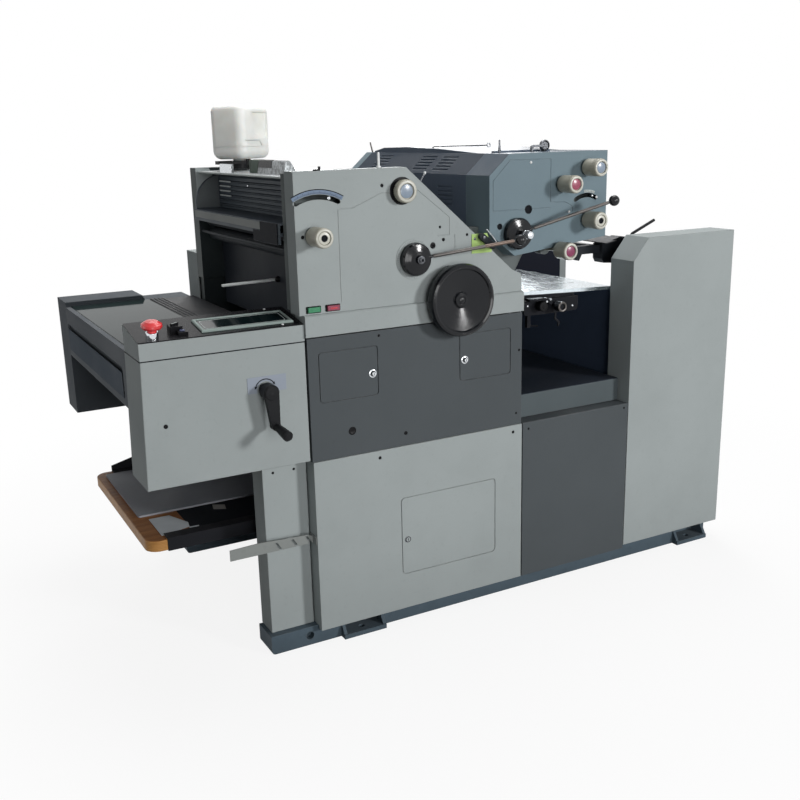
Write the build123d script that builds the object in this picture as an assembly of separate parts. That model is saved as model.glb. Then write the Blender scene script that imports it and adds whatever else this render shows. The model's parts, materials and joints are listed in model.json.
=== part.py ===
from build123d import *
import math
import os

os.makedirs("parts", exist_ok=True)

# Driving dimensions, mm. X runs along the press, Y from the operator's covers
# to the drive side, Z up from the floor. Zero is the lower cover's left edge.
ANCHOR_X1 = 144.0
ANCHOR_X2 = 1464.0
ANCHOR_Y1 = 31.0
ANCHOR_Y2 = 999.0
ANCHOR_R = 9.0
FAR_Y = 1020.0

SEAT = 0.3
DOOR_GAP = 2.5
RUN_GAP = 0.05
SHEET = 3.0
PLATE = 34.0

BASE_X0 = -148.0
BASE_X1 = 1545.0
RAIL_Y0 = 27.0
RAIL_W = 98.0
FAR_RAIL_W = 138.0
BASE_H = 58.0
COVER_Z = 50.0
FOOT_W = 140.0

FRAME_Y = 60.0
FAR_FRAME_Y = 871.0
CHEEK_Y = 847.0

COLUMN_X0 = 1140.0
COLUMN_X1 = 1577.0
COLUMN_W = 110.0
COLUMN_TOP = 1112.0

BOX_X0 = -455.0
BOX_X1 = -9.0
BOX_LEAN = 10.0
BOX_W = 158.0
BOX_Z0 = 577.0
BOX_SEAM = 918.0
DECK_Z = BOX_SEAM + 2
CONSOLE_FRONT = BOX_SEAM + 45
CONSOLE_SLOPE = 9.4
STOP_X = BOX_X0 + 43
STOP_Y = 26.0

FAR_BOX_Y0 = 978.0
FAR_BOX_Y1 = 1121.0
FAR_BOX_Z0 = 553.0
FAR_BOX_Z1 = 935.0

WHEEL_X = 465.0
WHEEL_Z = 988.0

LEVER_1 = (334.0, 1112.0, 8.2)
LEVER_2 = (681.0, 1160.0, 17.0)
LEVER_LEN = 292.0
LEVER_DISC_R = 46.0
LEVER_BALL_R = 16.0

CRANK_X = -129.0
CRANK_Z = 801.0
CRANK_LEN = 92.0
CRANK_ANGLE = 4.0

PILE_X0 = -440.0
PILE_X1 = 190.0
PILE_Y0 = 176.0
PILE_Y1 = 866.0
PILE_Z = 330.0
PILE_T = 32.0

BOTTLE_X = 123.0
BOTTLE_Y = 798.0
BOTTLE_Z = 1384.0
HEAD_D = 126.0
FAR_HEAD_Y = 915.0
KNOB_R = 25.5
KNOB_OUT = 71.0

MID_X = (ANCHOR_X1 + ANCHOR_X2) / 2
MID_Y = (ANCHOR_Y1 + ANCHOR_Y2) / 2
RAIL_Y1 = 2 * MID_Y - RAIL_Y0
FAR_RAIL_Y0 = RAIL_Y1 - FAR_RAIL_W
COVER_D = FRAME_Y - SEAT
NEAR_IN = FRAME_Y + PLATE + SEAT
FAR_IN = FAR_FRAME_Y - SEAT
FAR_OUT = FAR_FRAME_Y + PLATE
CHEEK_IN = CHEEK_Y - SEAT


# Shape helpers
def box(x0, x1, y0, y1, z0, z1):
    """Block between two corners."""
    body = Box(x1 - x0, y1 - y0, z1 - z0)
    return Pos((x0 + x1) / 2, (y0 + y1) / 2, (z0 + z1) / 2) * body


def flat(points, radius=0.0):
    """Closed outline, with every corner rounded when a radius is given."""
    face = make_face(Polyline(*points, close=True))
    if radius > 0:
        face = fillet(face.vertices(), radius)
    return face


def prism_y(points, y0, y1, radius=0.0):
    """Outline in X and Z, pushed from y0 to y1."""
    sketch = Plane.XZ * flat(points, radius)
    return Pos(0, y0, 0) * extrude(sketch, amount=-(y1 - y0))


def prism_x(points, x0, x1, radius=0.0):
    """Outline in Y and Z, pushed from x0 to x1."""
    sketch = Plane.YZ * flat(points, radius)
    return Pos(x0, 0, 0) * extrude(sketch, amount=x1 - x0)


def prism_z(points, z0, z1, radius=0.0):
    """Outline in X and Y, pushed from z0 to z1."""
    return Pos(0, 0, z0) * extrude(flat(points, radius), amount=z1 - z0)


def rect(x0, x1, z0, z1):
    """Corner points of a rectangle."""
    return [(x0, z0), (x1, z0), (x1, z1), (x0, z1)]


def cyl_y(x, z, r, y0, y1):
    """Round bar along Y."""
    return Pos(x, (y0 + y1) / 2, z) * Rot(90, 0, 0) * Cylinder(r, y1 - y0)


def cyl_z(x, y, r, z0, z1):
    """Round bar along Z."""
    return Pos(x, y, (z0 + z1) / 2) * Cylinder(r, z1 - z0)


def turned_y(x, z, profile):
    """Turned piece on an axis along Y, from (radius, y) points."""
    sketch = make_face(Polyline(*profile, close=True))
    plane = Plane(origin=(x, 0, z), x_dir=(1, 0, 0), z_dir=(0, 0, 1))
    return revolve(plane * sketch, axis=Axis((x, 0, z), (0, 1, 0)))


def turned_z(x, y, profile):
    """Turned piece on an axis along Z, from (radius, z) points."""
    sketch = make_face(Polyline(*profile, close=True))
    plane = Plane(origin=(x, y, 0), x_dir=(1, 0, 0), z_dir=(0, -1, 0))
    return revolve(plane * sketch, axis=Axis((x, y, 0), (0, 0, 1)))


def rod(p, q, r):
    """Round bar between two points."""
    run = Vector(*q) - Vector(*p)
    return Solid.make_cylinder(r, run.length, Plane(origin=p, z_dir=run))


def tray(points, y0, y1, wall=SHEET, radius=0.0):
    """Sheet cover: front skin at y0 and a flange all round, open at y1."""
    skin = Plane.XZ * flat(points, radius)
    inner = offset(flat(points, radius), amount=-wall, kind=Kind.INTERSECTION)
    outer = Pos(0, y0, 0) * extrude(skin, amount=-(y1 - y0))
    hollow = extrude(Plane.XZ * inner, amount=-(y1 - y0 - wall + 1))
    return outer - Pos(0, y0 + wall, 0) * hollow


def back_tray(points, y0, y1, wall=SHEET, radius=0.0):
    """Sheet cover for the drive side: skin at y1, open towards y0."""
    inner = offset(flat(points, radius), amount=-wall, kind=Kind.INTERSECTION)
    outer = Pos(0, y0, 0) * extrude(Plane.XZ * flat(points, radius), amount=-(y1 - y0))
    hollow = extrude(Plane.XZ * inner, amount=-(y1 - y0 - wall + 1))
    return outer - Pos(0, y0 - 1, 0) * hollow


def arc_slot(cx, cz, radius, a0, a1, width, y0, y1):
    """Curved slot cutter on a circle about (cx, cz), angles from +X."""
    path = CenterArc((cx, cz), radius, a0, a1 - a0)
    ribbon = Plane.XZ * trace(path, line_width=width)
    body = Pos(0, y0, 0) * extrude(ribbon, amount=-(y1 - y0))
    for angle in (a0, a1):
        t = math.radians(angle)
        body += cyl_y(cx + radius * math.cos(t), cz + radius * math.sin(t), width / 2, y0, y1)
    return body


def save(name, *shapes):
    """Move a node to the anchor centre and write it."""
    moved = [Pos(-MID_X, -MID_Y, 0) * s for s in shapes]
    if len(moved) == 1:
        export_step(moved[0], "parts/" + name + ".step")
        return
    solids = []
    for shape in moved:
        solids.extend(shape.solids())
    export_step(Compound(children=solids), "parts/" + name + ".step")


# Cast base: two rails, three cross members and four anchor pockets
rail_near = box(BASE_X0, BASE_X1, RAIL_Y0, RAIL_Y0 + RAIL_W, 0, BASE_H)
rail_far = box(BASE_X0, BASE_X1, FAR_RAIL_Y0, RAIL_Y1, 0, BASE_H)
base = rail_near + rail_far
for cross_x in (250.0, 770.0, 1360.0):
    base += box(cross_x, cross_x + 90, RAIL_Y0 + RAIL_W - 1, FAR_RAIL_Y0 + 1, 0, BASE_H)
base -= cyl_y(-27, 30, 12.5, RAIL_Y0 - 1, RAIL_Y0 + 22)
for foot_x in (ANCHOR_X1, ANCHOR_X2):
    for hole_y, side in ((ANCHOR_Y1, -1), (ANCHOR_Y2, 1)):
        wall_y = RAIL_Y0 if side < 0 else RAIL_Y1
        deep_y = wall_y - side * 42
        tip_y = wall_y + side * 26
        low, high = sorted((wall_y + side * 1, deep_y))
        base -= box(foot_x - FOOT_W / 2 + 10, foot_x + FOOT_W / 2 - 10, low, high, 14, BASE_H - 10)
        low, high = sorted((tip_y, wall_y - side * 1))
        base += box(foot_x - FOOT_W / 2, foot_x + FOOT_W / 2, low, high, 0, 14)
        rib_top = BASE_H - 8
        rib = [(wall_y - side * 2, 13), (tip_y - side * 3, 13), (wall_y, rib_top), (wall_y - side * 2, rib_top)]
        for rib_x in (foot_x - FOOT_W / 2, foot_x + FOOT_W / 2 - 10):
            base += prism_x(rib, rib_x, rib_x + 10)
        base -= cyl_z(foot_x, hole_y, ANCHOR_R, -1, 15)
left_edges = base.edges().filter_by(Axis.Y).filter_by_position(Axis.X, BASE_X0 - 1, BASE_X0 + 1)
low_edges = left_edges.filter_by_position(Axis.Z, -1, 1)
base = fillet(low_edges, 12)
save("base_frame", base)

# Side frames, one plate each side carrying both printing units
unit_1 = [(-8, 578), (-8, 993), (-16, 993), (-16, 1358), (312, 1358), (663, 1050), (694, 1035), (694, 575)]
unit_2 = [(593, 1165), (593, 1326), (659, 1383), (1012, 1383), (1012, 1134), (678, 1099)]
link = [(560, 1060), (560, 1180), (640, 1180), (760, 1110), (694, 1000), (600, 1000)]
lower = [(6, BASE_H + SEAT), (1130, BASE_H + SEAT), (1130, 566), (6, 566)]
waist = [(6, 560), (690, 560), (690, 640), (-8, 640), (-8, 578), (6, 578)]
near_frame = prism_y(unit_1, FRAME_Y, FRAME_Y + PLATE)
near_frame += prism_y(unit_2, FRAME_Y, FRAME_Y + PLATE)
near_frame += prism_y(link, FRAME_Y, FRAME_Y + PLATE)
near_frame += prism_y(lower, FRAME_Y, FRAME_Y + PLATE)
near_frame += prism_y(waist, FRAME_Y, FRAME_Y + PLATE)
near_lug = cyl_y(831, 1101, 20, FRAME_Y, FRAME_Y + PLATE)
bearing = [(0, -8), (29, -8), (29, FRAME_Y + 1), (0, FRAME_Y + 1)]
save("near_side_frame", near_frame + near_lug + turned_y(WHEEL_X, WHEEL_Z, bearing))
far_frame = Pos(0, FAR_FRAME_Y - FRAME_Y, 0) * near_frame
far_frame += box(680, 1136, FAR_FRAME_Y, FAR_OUT, 500, 932)
cheek = [(-16, 993), (-16, 1358), (312, 1358), (663, 1050), (694, 1035), (694, 993)]
far_frame += prism_y(cheek, CHEEK_Y, FAR_FRAME_Y + 1)
far_frame += box(100, 158, 770, CHEEK_Y + 1, 1350.5, 1353)
far_frame += box(150, 158, 786, CHEEK_Y + 1, 1350.5, BOTTLE_Z - 1)
save("far_side_frame", far_frame)


# Covers with doors on the operator's side
def door_opening(cover, x0, x1, z0, z1, radius):
    """Cut a door opening and leave a seat lip behind the door."""
    hole = prism_y(rect(x0, x1, z0, z1), -1, SHEET + SEAT, radius)
    through = prism_y(rect(x0 + 9, x1 - 9, z0 + 9, z1 - 9), -1, 12, radius)
    lip = prism_y(rect(x0 - 6, x1 + 6, z0 - 6, z1 + 6), SHEET - 1, SHEET + SEAT + 2)
    return cover + lip - hole - through


def door(x0, x1, z0, z1, radius):
    """Flush door leaf with its clearance all round."""
    edge = rect(x0 + DOOR_GAP, x1 - DOOR_GAP, z0 + DOOR_GAP, z1 - DOOR_GAP)
    return prism_y(edge, 0, SHEET, radius - DOOR_GAP)


rail_clear = box(-30, 1600, RAIL_Y0 - 8, 200, 40, BASE_H + 2 * SEAT)
lower_cover = tray(rect(0, 708, COVER_Z, 569), 0, COVER_D) - rail_clear
lower_cover = door_opening(lower_cover, 273, 609, 162, 409, 14)
for hole_x in (208, 675):
    lower_cover -= cyl_y(hole_x, 547, 5, -1, 6)
save("lower_near_cover", lower_cover)
inspection = door(273, 609, 162, 409, 14)
inspection += turned_y(294, 274, [(0, 1), (9, 1), (9, -2), (6, -3), (0, -3)])
save("inspection_door", inspection)

mid_cover = tray(rect(-3, 705, 571, 922), 0, COVER_D)
mid_cover = door_opening(mid_cover, 28, 211, 737, 881, 10)
mid_cover = door_opening(mid_cover, 481, 664, 737, 880, 10)
for hole_x, hole_z, hole_r in ((216, 907, 4), (123, 643, 12), (295, 608, 6), (686, 607, 4), (695, 806, 4)):
    mid_cover -= cyl_y(hole_x, hole_z, hole_r, -1, 6)
save("mid_near_cover", mid_cover)
access_doors = (
    ("left_access_door", (28, 211, 737, 881), 193),
    ("right_access_door", (481, 664, 737, 880), 499),
)
for name, span, latch in access_doors:
    leaf = door(*span, 10)
    leaf += turned_y(latch, 801, [(0, 1), (8, 1), (8, -5), (5, -9), (0, -9)])
    save(name, leaf)

feeder_cover = tray(rect(712, 1137, COVER_Z, 570), 0, COVER_D) - rail_clear
top_edge = feeder_cover.edges().filter_by(Axis.X).filter_by_position(Axis.Y, -0.1, 0.1)
feeder_cover = chamfer(top_edge.sort_by(Axis.Z)[-1], 2.4)
for hole_x, hole_z in ((734, 548), (1121, 556)):
    feeder_cover -= cyl_y(hole_x, hole_z, 4, -1, 6)
save("lower_feeder_cover", feeder_cover)

# Bed of the feeder alcove, a cast tray turned upside down
bed = box(712, 1134, 50, FAR_IN, 571, 647)
bed -= box(720, 1126, 58, FAR_FRAME_Y - 10, 560, 637)
bed -= box(700, 1140, 0, 100, 500, 572)
bed = fillet(bed.edges().filter_by(Axis.X).group_by(Axis.Z)[-1].sort_by(Axis.Y)[0], 5)
save("feeder_bed", bed)

# First unit cover on the operator's side
upper = [(-20, 987 + SEAT), (-20, 1364), (314.5, 1364), (667, 1054.5), (700, 1039), (703, 987 + SEAT)]
unit1_cover = tray(upper, 0, COVER_D)
unit1_cover -= arc_slot(46, 1163, 134, 63, 117, 13, -1, 8)
unit1_cover -= cyl_y(WHEEL_X, WHEEL_Z, 30, -20, 80)
for button_x in (21, 78):
    unit1_cover -= box(button_x - 18.5, button_x + 18.5, -1, 5, 993.5, 1008.5)
cover_holes = ((0, 1195, 5), (239, 1318, 5), (396, 1145, 9), (431, 1159, 5), (510, 1168, 4), (420, 1195, 4))
for hole_x, hole_z, hole_r in cover_holes:
    unit1_cover -= cyl_y(hole_x, hole_z, hole_r, -1, 6)
groove = [(104, 1012), (104, 1262), (147, 1263), (233, 1298)]
groove += [(351, 1299), (450, 1221), (450, 1172), (412, 1171)]
for a, b in zip(groove[:-1], groove[1:]):
    run = Polyline(a, b)
    unit1_cover -= Pos(0, -1, 0) * extrude(Plane.XZ * trace(run, line_width=2.4), amount=-2)
unit1_cover -= box(467, 469.4, -1, 1, 1130, 1172)
save("unit1_near_cover", unit1_cover)

# Proud strip under the first unit, carrying the push buttons
strip_shape = [(-8, 927), (-8, 983), (-4, 987), (COVER_D, 987), (COVER_D, 927)]
strip = prism_x(strip_shape, -8, 706)
strip_hollow = [(-5, 921), (-5, 983), (80, 983), (80, 921)]
strip -= prism_x(strip_hollow, -5, 703)
strip -= cyl_y(WHEEL_X, WHEEL_Z, 30, -20, 80)
save("unit1_ledge_strip", strip)
for name, button_x in (("green_button", 21), ("red_button", 78)):
    cap = box(button_x - 18, button_x + 18, -9, 7, 994, 1008)
    cap = chamfer(cap.faces().sort_by(Axis.Y)[0].edges(), 1.5)
    save(name, cap)

# Drive-side covers
drive = [(-16, 571), (-16, 1073), (645, 1073), (700, 1030), (700, 571)]
save("drive_side_cover", back_tray(drive, FAR_OUT + SEAT, FAR_Y))
far_low = back_tray(rect(6, 1130, COVER_Z, 569), FAR_OUT + SEAT, FAR_Y)
far_low -= box(-30, 1600, 800, RAIL_Y1 + 8, 40, BASE_H + 2 * SEAT)
save("lower_far_cover", far_low)

# Delivery control box and its sloping console
box_side = [(BOX_X0 - BOX_LEAN, BOX_Z0), (BOX_X1, BOX_Z0), (BOX_X1, BOX_SEAM), (BOX_X0, BOX_SEAM)]
body = tray(box_side, 0, BOX_W - 4) + prism_y(box_side, BOX_W - 4, BOX_W)
body -= cyl_y(-404, 742, 6, -1, 6)
body -= cyl_y(CRANK_X, CRANK_Z, 8 + RUN_GAP, -1, 30)
outer_edges = body.faces().sort_by(Axis.Y)[0].outer_wire().edges()
body = fillet([outer_edges.sort_by(Axis.X)[0], outer_edges.sort_by(Axis.X)[-1]], 2.5)
save("control_box", body)
rise = BOX_W * math.tan(math.radians(CONSOLE_SLOPE))
cap_side = [(0, BOX_SEAM + SEAT), (0, CONSOLE_FRONT), (BOX_W, CONSOLE_FRONT + rise), (BOX_W, BOX_SEAM + SEAT)]
cap = prism_x(cap_side, BOX_X0, BOX_X1)
cap_floor = BOX_SEAM - 18
cap_back = BOX_W - 4
cap_in = [(4, cap_floor), (4, CONSOLE_FRONT - 4), (cap_back, CONSOLE_FRONT + rise - 4.6), (cap_back, cap_floor)]
cap -= prism_x(cap_in, BOX_X0 + 4, BOX_X1 - 4)


def on_console(shape):
    """Lay a piece drawn flat on the sloping console."""
    return Pos(0, 0, CONSOLE_FRONT) * Rot(CONSOLE_SLOPE, 0, 0) * shape


cap -= on_console(cyl_z(STOP_X, STOP_Y, 12 + RUN_GAP, -20, 4))
save("control_cap", cap)
console_len = BOX_W / math.cos(math.radians(CONSOLE_SLOPE))
panel = box(BOX_X0 + 1, BOX_X1 - 1, 1, console_len - 2, 0, 3)
panel = fillet(panel.edges().filter_by(Axis.Z), 3)
panel -= cyl_z(STOP_X, STOP_Y, 12 + RUN_GAP, -1, 4)
frame_bar = box(-284, -30, 22, 116, 3, 9)
frame_bar = chamfer(frame_bar.faces().sort_by(Axis.Z)[-1].edges(), 2.5)
frame_bar -= box(-276, -38, 30, 108, 5, 12)
save("display_frame", on_console(frame_bar))
switch = box(-362, -328, 40, 70, 2, 21)
switch = fillet(switch.edges().filter_by(Axis.Z), 3)
switch += box(-346, -320, 20, 42, 2, 12)
switch += Pos(-346, 56, 21) * Rot(0, 0, 25) * Box(22, 7, 10)
stop_shape = [(0, -6), (11.95, -6), (11.95, 25), (15, 28), (24, 30), (27, 35), (26, 41), (16, 48), (0, 50)]
stop = turned_z(STOP_X, STOP_Y, stop_shape)
save("emergency_stop", on_console(stop))
collar = turned_z(STOP_X, STOP_Y, [(12 + RUN_GAP, 2), (15, 2), (15, 14), (14, 15.5), (12 + RUN_GAP, 15.5)])
save("console_panel", on_console(panel + switch + collar))

# Crank on the control box
crank = cyl_y(CRANK_X, CRANK_Z, 8, -20, 28)
crank += turned_y(CRANK_X, CRANK_Z, [(0, -7), (20, -7), (22, -12), (22, -46), (18, -52), (0, -53)])
side_x = math.cos(math.radians(CRANK_ANGLE))
side_z = math.sin(math.radians(CRANK_ANGLE))
tip_x = CRANK_X + CRANK_LEN * side_z
tip_z = CRANK_Z - CRANK_LEN * side_x
arm = [
    (CRANK_X - 20 * side_x, CRANK_Z - 20 * side_z),
    (CRANK_X + 20 * side_x, CRANK_Z + 20 * side_z),
    (tip_x + 12 * side_x, tip_z + 12 * side_z),
    (tip_x - 12 * side_x, tip_z - 12 * side_z),
]
crank += prism_y(arm, -50, -34)
crank += cyl_y(tip_x, tip_z, 12.5, -52, -32)
grip = turned_z(0, 0, [(0, -12), (9, -12), (9, 1), (11, 20), (14, 62), (14, 70), (10, 75), (0, 76)])
crank += Plane(origin=(tip_x, -48, tip_z), z_dir=(6, -76, -13)) * grip
save("delivery_crank", crank)

# Delivery, far box, end panel and top
far_step = BOX_SEAM - 6
far_box = [(BOX_X0, FAR_BOX_Z0), (BOX_X0, FAR_BOX_Z1), (-197, FAR_BOX_Z1)]
far_box += [(-185, far_step), (-20, far_step), (-20, FAR_BOX_Z0)]
far_shell = back_tray(far_box, FAR_BOX_Y0 + 4, FAR_BOX_Y1, 4)
save("delivery_far_box", far_shell + prism_y(far_box, FAR_BOX_Y0, FAR_BOX_Y0 + 4))
panel_top = DECK_Z - 1
panel_low = panel_top - 162
end_panel = box(BOX_X0, BOX_X0 + 16, BOX_W + SEAT, FAR_BOX_Y0 - SEAT, panel_low, panel_top)
end_panel -= box(BOX_X0 - 1, BOX_X0 + 9, 205, 965, panel_low + 33, panel_top - 53)
end_panel -= box(BOX_X0 + 13, BOX_X0 + 20, 170, 970, panel_low + 8, panel_top - 7)
save("delivery_end_panel", end_panel)
top_plate = box(BOX_X0 + 17, -178, BOX_W + SEAT, FAR_BOX_Y0 - SEAT, DECK_Z - 14, DECK_Z)
top_plate -= box(BOX_X0 + 20, -181, BOX_W + 4, FAR_BOX_Y0 - 4, DECK_Z - 20, DECK_Z - 4)
top_plate = chamfer(top_plate.faces().sort_by(Axis.Z)[-1].edges(), 1.5)
save("delivery_top_plate", top_plate)
strip_low = DECK_Z - 14
strip_top = DECK_Z - 3
ribs = [(-176, strip_low), (-176, strip_top)]
rib_x = -172.0
for i in range(4):
    ribs += [(rib_x, strip_top), (rib_x + 2, strip_top + 4), (rib_x + 7, strip_top + 4), (rib_x + 9, strip_top)]
    rib_x += 13
ribs += [(-18, strip_top), (-18, strip_low)]
save("delivery_ribbed_strip", prism_y(ribs, BOX_W + SEAT, FAR_BOX_Y0 - SEAT))

# Delivery columns
near_column = box(-136, -3, 50, 130, BASE_H + SEAT, BOX_Z0 - SEAT)
near_column -= box(-132, -7, 54, 126, BASE_H - 5, BOX_Z0 + 5)
for hole_x in (-104, -41):
    near_column -= cyl_y(hole_x, 545, 4, 49, 56)
near_column = fillet(near_column.edges().filter_by(Axis.Z).sort_by(Axis.Y)[:2], 2)
far_column = box(-136, -3, 915, 995, BASE_H + SEAT, FAR_BOX_Z0 - SEAT)
far_column -= box(-132, -7, 919, 991, BASE_H - 5, FAR_BOX_Z0 + 5)
save("delivery_columns", near_column, far_column)

# Notched rail beside the near column
rail_side = [(-252, 320.5), (-252, 352.3), (-168, 355.4), (-20, 348.3), (-1, 341), (-1, 320.5)]
notched = prism_y(rail_side, 26, 29)
for slot_x in (-116, -67, -24):
    slot = [(slot_x - 3.5, 343), (slot_x + 3, 346), (slot_x + 20, 319), (slot_x + 12, 319)]
    notched -= prism_y(slot, 25, 30)
save("notched_rail", notched + box(-3.3, 0 - SEAT, 4, 48, 320.5, 345))

# Delivery pile board on its lift
board_edge = rect(PILE_X0, PILE_X1, PILE_Y0, PILE_Y1)
board = prism_z(board_edge, PILE_Z, PILE_Z + PILE_T, 38)
for notch_y in (PILE_Y0, PILE_Y1):
    board -= box(-384, 160, notch_y - 8, notch_y + 8, PILE_Z - 1, PILE_Z + PILE_T + 1)
board = fillet(board.faces().sort_by(Axis.Z)[-1].edges().filter_by(GeomType.CIRCLE), 4)
save("pile_board", board)
bar_y = PILE_Y0 + 8 - SEAT
bar_top = PILE_Z + PILE_T + SEAT + 3
bar_shape = [
    (bar_y, PILE_Z - 4),
    (bar_y, PILE_Z + PILE_T + SEAT),
    (bar_y + 34, PILE_Z + PILE_T + SEAT),
    (bar_y + 34, bar_top),
    (PILE_Y0, bar_top),
    (PILE_Y0, PILE_Z - 4),
]
near_bar = prism_x(bar_shape, -383, 159)
far_bar = Pos(0, PILE_Y0 + PILE_Y1, 0) * mirror(near_bar, Plane.XZ)
guard_shape = [(-383, PILE_Z - 4), (-383, 380), (-306, 400), (-140, 400), (-140, PILE_Z - 4)]
far_guard = prism_y(guard_shape, PILE_Y1, PILE_Y1 + 3)
arm_top = PILE_Z - SEAT
lift = box(205, 219, 250, 810, PILE_Z - 80, arm_top)
for arm_y in (300, 720):
    arm_side = [(-385, PILE_Z - 22), (-385, arm_top), (212, arm_top), (212, PILE_Z - 68), (100, PILE_Z - 40)]
    lift += prism_y(arm_side, arm_y, arm_y + 40)
save("pile_lift", lift, near_bar, far_bar + far_guard)
plate_low = PILE_Z + PILE_T + SEAT
save("pile_plate", prism_z([(-414, 380), (150, 380), (150, 820), (-414, 820)], plate_low, plate_low + 6, 8))

# Inner back wall of the delivery space with its lift guides
wall = box(230, 242, NEAR_IN, FAR_IN, BASE_H + SEAT, 907)
for guide_y in (270, 770):
    wall += box(219 + SEAT, 231, guide_y - 15, guide_y + 15, 90, 880)

# Closed dark housing of the first unit, between the side frames
inner = [(60, 906), (60, 1130), (110, 1190), (110, 1326), (300, 1334), (640, 1046), (680, 1030), (680, 906)]
housing = prism_y(inner, NEAR_IN, CHEEK_IN)
save("unit1_housing", housing + wall)

# Ribbed guard over the rollers: upright panel, end cheek, shelf and front bar
guard = [(-14, 1221), (66, 1225), (66, 1326), (70, 1332), (109.5, 1334), (109.5, 1338), (68, 1336), (62, 1328)]
for k in range(6):
    rib_z = 1318 - k * 15
    guard += [(62, rib_z), (57.5, rib_z - 2.5), (57.5, rib_z - 4.5), (62, rib_z - 7)]
guard += [(62, 1229), (-14, 1226)]
roller_guard = prism_y(guard, NEAR_IN, CHEEK_IN)
front_bar = box(-28, -13, NEAR_IN, CHEEK_IN, 1191, 1226)
front_bar -= box(-24, -12, NEAR_IN - 1, CHEEK_IN + 1, 1186, 1221)
roller_guard += front_bar
cheek_curve = CenterArc((70, 1242), 94, 90, 90)
cheek_edge = Polyline((-24, 1242), (-24, 1224), (70, 1224), (70, 1336))
end_cheek = Plane.XZ * make_face([cheek_curve, cheek_edge])
roller_guard += Pos(0, CHEEK_IN - 12, 0) * extrude(end_cheek, amount=-12)
roller_guard += box(-30, 5, 104, 290, 1168, 1200) - box(-20, 6, 103, 291, 1160, 1190)
save("roller_guard", roller_guard)
rollers = cyl_y(30, 1190, 22, FRAME_Y + PLATE, CHEEK_Y)
rollers_b = cyl_y(36, 1142, 20, FRAME_Y + PLATE, CHEEK_Y)
low_rod = cyl_y(-4, 1152, 5, FRAME_Y + PLATE, CHEEK_Y)
save("unit1_rollers", rollers, rollers_b, low_rod)

# Top deck of the first unit, with the ridge that covers its damping gear
deck = prism_y([(-4, 1342), (-4, 1348), (300, 1350), (300, 1344)], NEAR_IN, CHEEK_IN)
for row in range(3):
    for col in range(8):
        deck -= cyl_z(130 + row * 34, 170 + col * 80, 8, 1330, 1360)
deck += prism_y([(48, 1345), (56, 1384), (62, 1387), (68, 1386), (84, 1362), (84, 1345)], 228, 500)
deck += box(62, 100, 503, 540, 1345, 1385) + box(66, 80, 499, 504, 1345, 1370)
deck += box(-4, 2, 516, 626, 1345, 1375)
save("unit1_top_deck", deck)

# Water bottle, its cap and bracket
bottle = prism_z(rect(-78, 84, -76, 60), 0, 167, 30)
bottle = fillet(bottle.faces().sort_by(Axis.Z)[-1].edges(), 16)
bottle = fillet(bottle.faces().sort_by(Axis.Z)[0].edges(), 27)
bottle -= prism_y([(-18, 147), (74, 147), (74, 60), (40, 64), (-10, 82)], -80, -58)
bottle += cyl_z(0, 0, 21, -5, 2)
save("water_bottle", Pos(BOTTLE_X, BOTTLE_Y, BOTTLE_Z) * Rot(0, 0, 33) * bottle)
cap_top = BOTTLE_Z - 5
bottle_cap = cyl_z(BOTTLE_X, BOTTLE_Y, 24, 1353 + SEAT, cap_top)
bottle_cap += prism_z(rect(44, 142, 772, 822), cap_top - 11, cap_top, 8)
save("bottle_cap", bottle_cap)

# Second unit: covers, louvred hood and lower body
head = [(587, 1164), (587, 1329), (656, 1389), (1018, 1389), (1018, 1130), (676, 1094)]
near_head = tray(head, 0, HEAD_D)
link_cut = extrude(Plane.XZ * offset(flat(link), amount=1), amount=-(PLATE + 3))
near_head -= Pos(0, FRAME_Y - 1, 0) * link_cut
near_head -= cyl_y(831, 1101, 21, FRAME_Y - 1, FRAME_Y + PLATE + 1)
near_head -= arc_slot(940, 1180, 78, 62, 122, 13, -1, 8)
for hole_x, hole_z, hole_r in ((725, 1227, 13), (623, 1183, 9)):
    near_head -= cyl_y(hole_x, hole_z, hole_r, -1, 6)
groove2 = [(599, 1228), (599, 1314), (658, 1371), (804, 1369)]
groove2 += [(804, 1244), (860, 1241), (886, 1228), (891, 1195)]
for a, b in zip(groove2[:-1], groove2[1:]):
    near_head -= Pos(0, -1, 0) * extrude(Plane.XZ * trace(Polyline(a, b), line_width=2.4), amount=-2)
near_head -= box(599, 804, -1, 1, 1226.8, 1229.2)
save("unit2_near_cover", near_head)
far_head = back_tray(head, FAR_FRAME_Y, FAR_HEAD_Y)
far_head -= Pos(0, FAR_FRAME_Y - 2, 0) * link_cut
save("unit2_far_cover", far_head)
hood_in = offset(flat(head), amount=-4, kind=Kind.INTERSECTION)
hood = prism_y(head, HEAD_D + SEAT, FAR_IN)
hood -= Pos(0, HEAD_D, 0) * extrude(Plane.XZ * hood_in, amount=-(FAR_FRAME_Y - HEAD_D + 1))
slant = math.degrees(math.atan2(60, 69))
for y_mid in (300, 430, 730):
    for k in range(5):
        t = 0.2 + k * 0.15
        cut = Pos(587 + 69 * t, y_mid, 1329 + 60 * t) * Rot(0, -slant, 0) * Box(6, 90, 4)
        hood -= cut
for k in range(5):
    hood -= Pos(587, 250, 1290 - k * 13) * Box(3, 90, 5)
    hood -= Pos(587, 600, 1290 - k * 13) * Box(3, 90, 5)
lid_side = [(160, 1388), (400, 1401), (620, 1407), (790, 1405), (866, 1393), (866, 1388)]
top_bar = prism_x(lid_side, 664, 986) + box(690, 900, 134, 144, 1388, 1395)
save("unit2_hood", hood + top_bar)
low_shape = [(696, 964.3), (696, 1090), (760, 1090), (760, 985), (745, 964.3)]
low_body = prism_y(low_shape, NEAR_IN + 20, FAR_IN)
save("unit2_lower_body", low_body)

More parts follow.
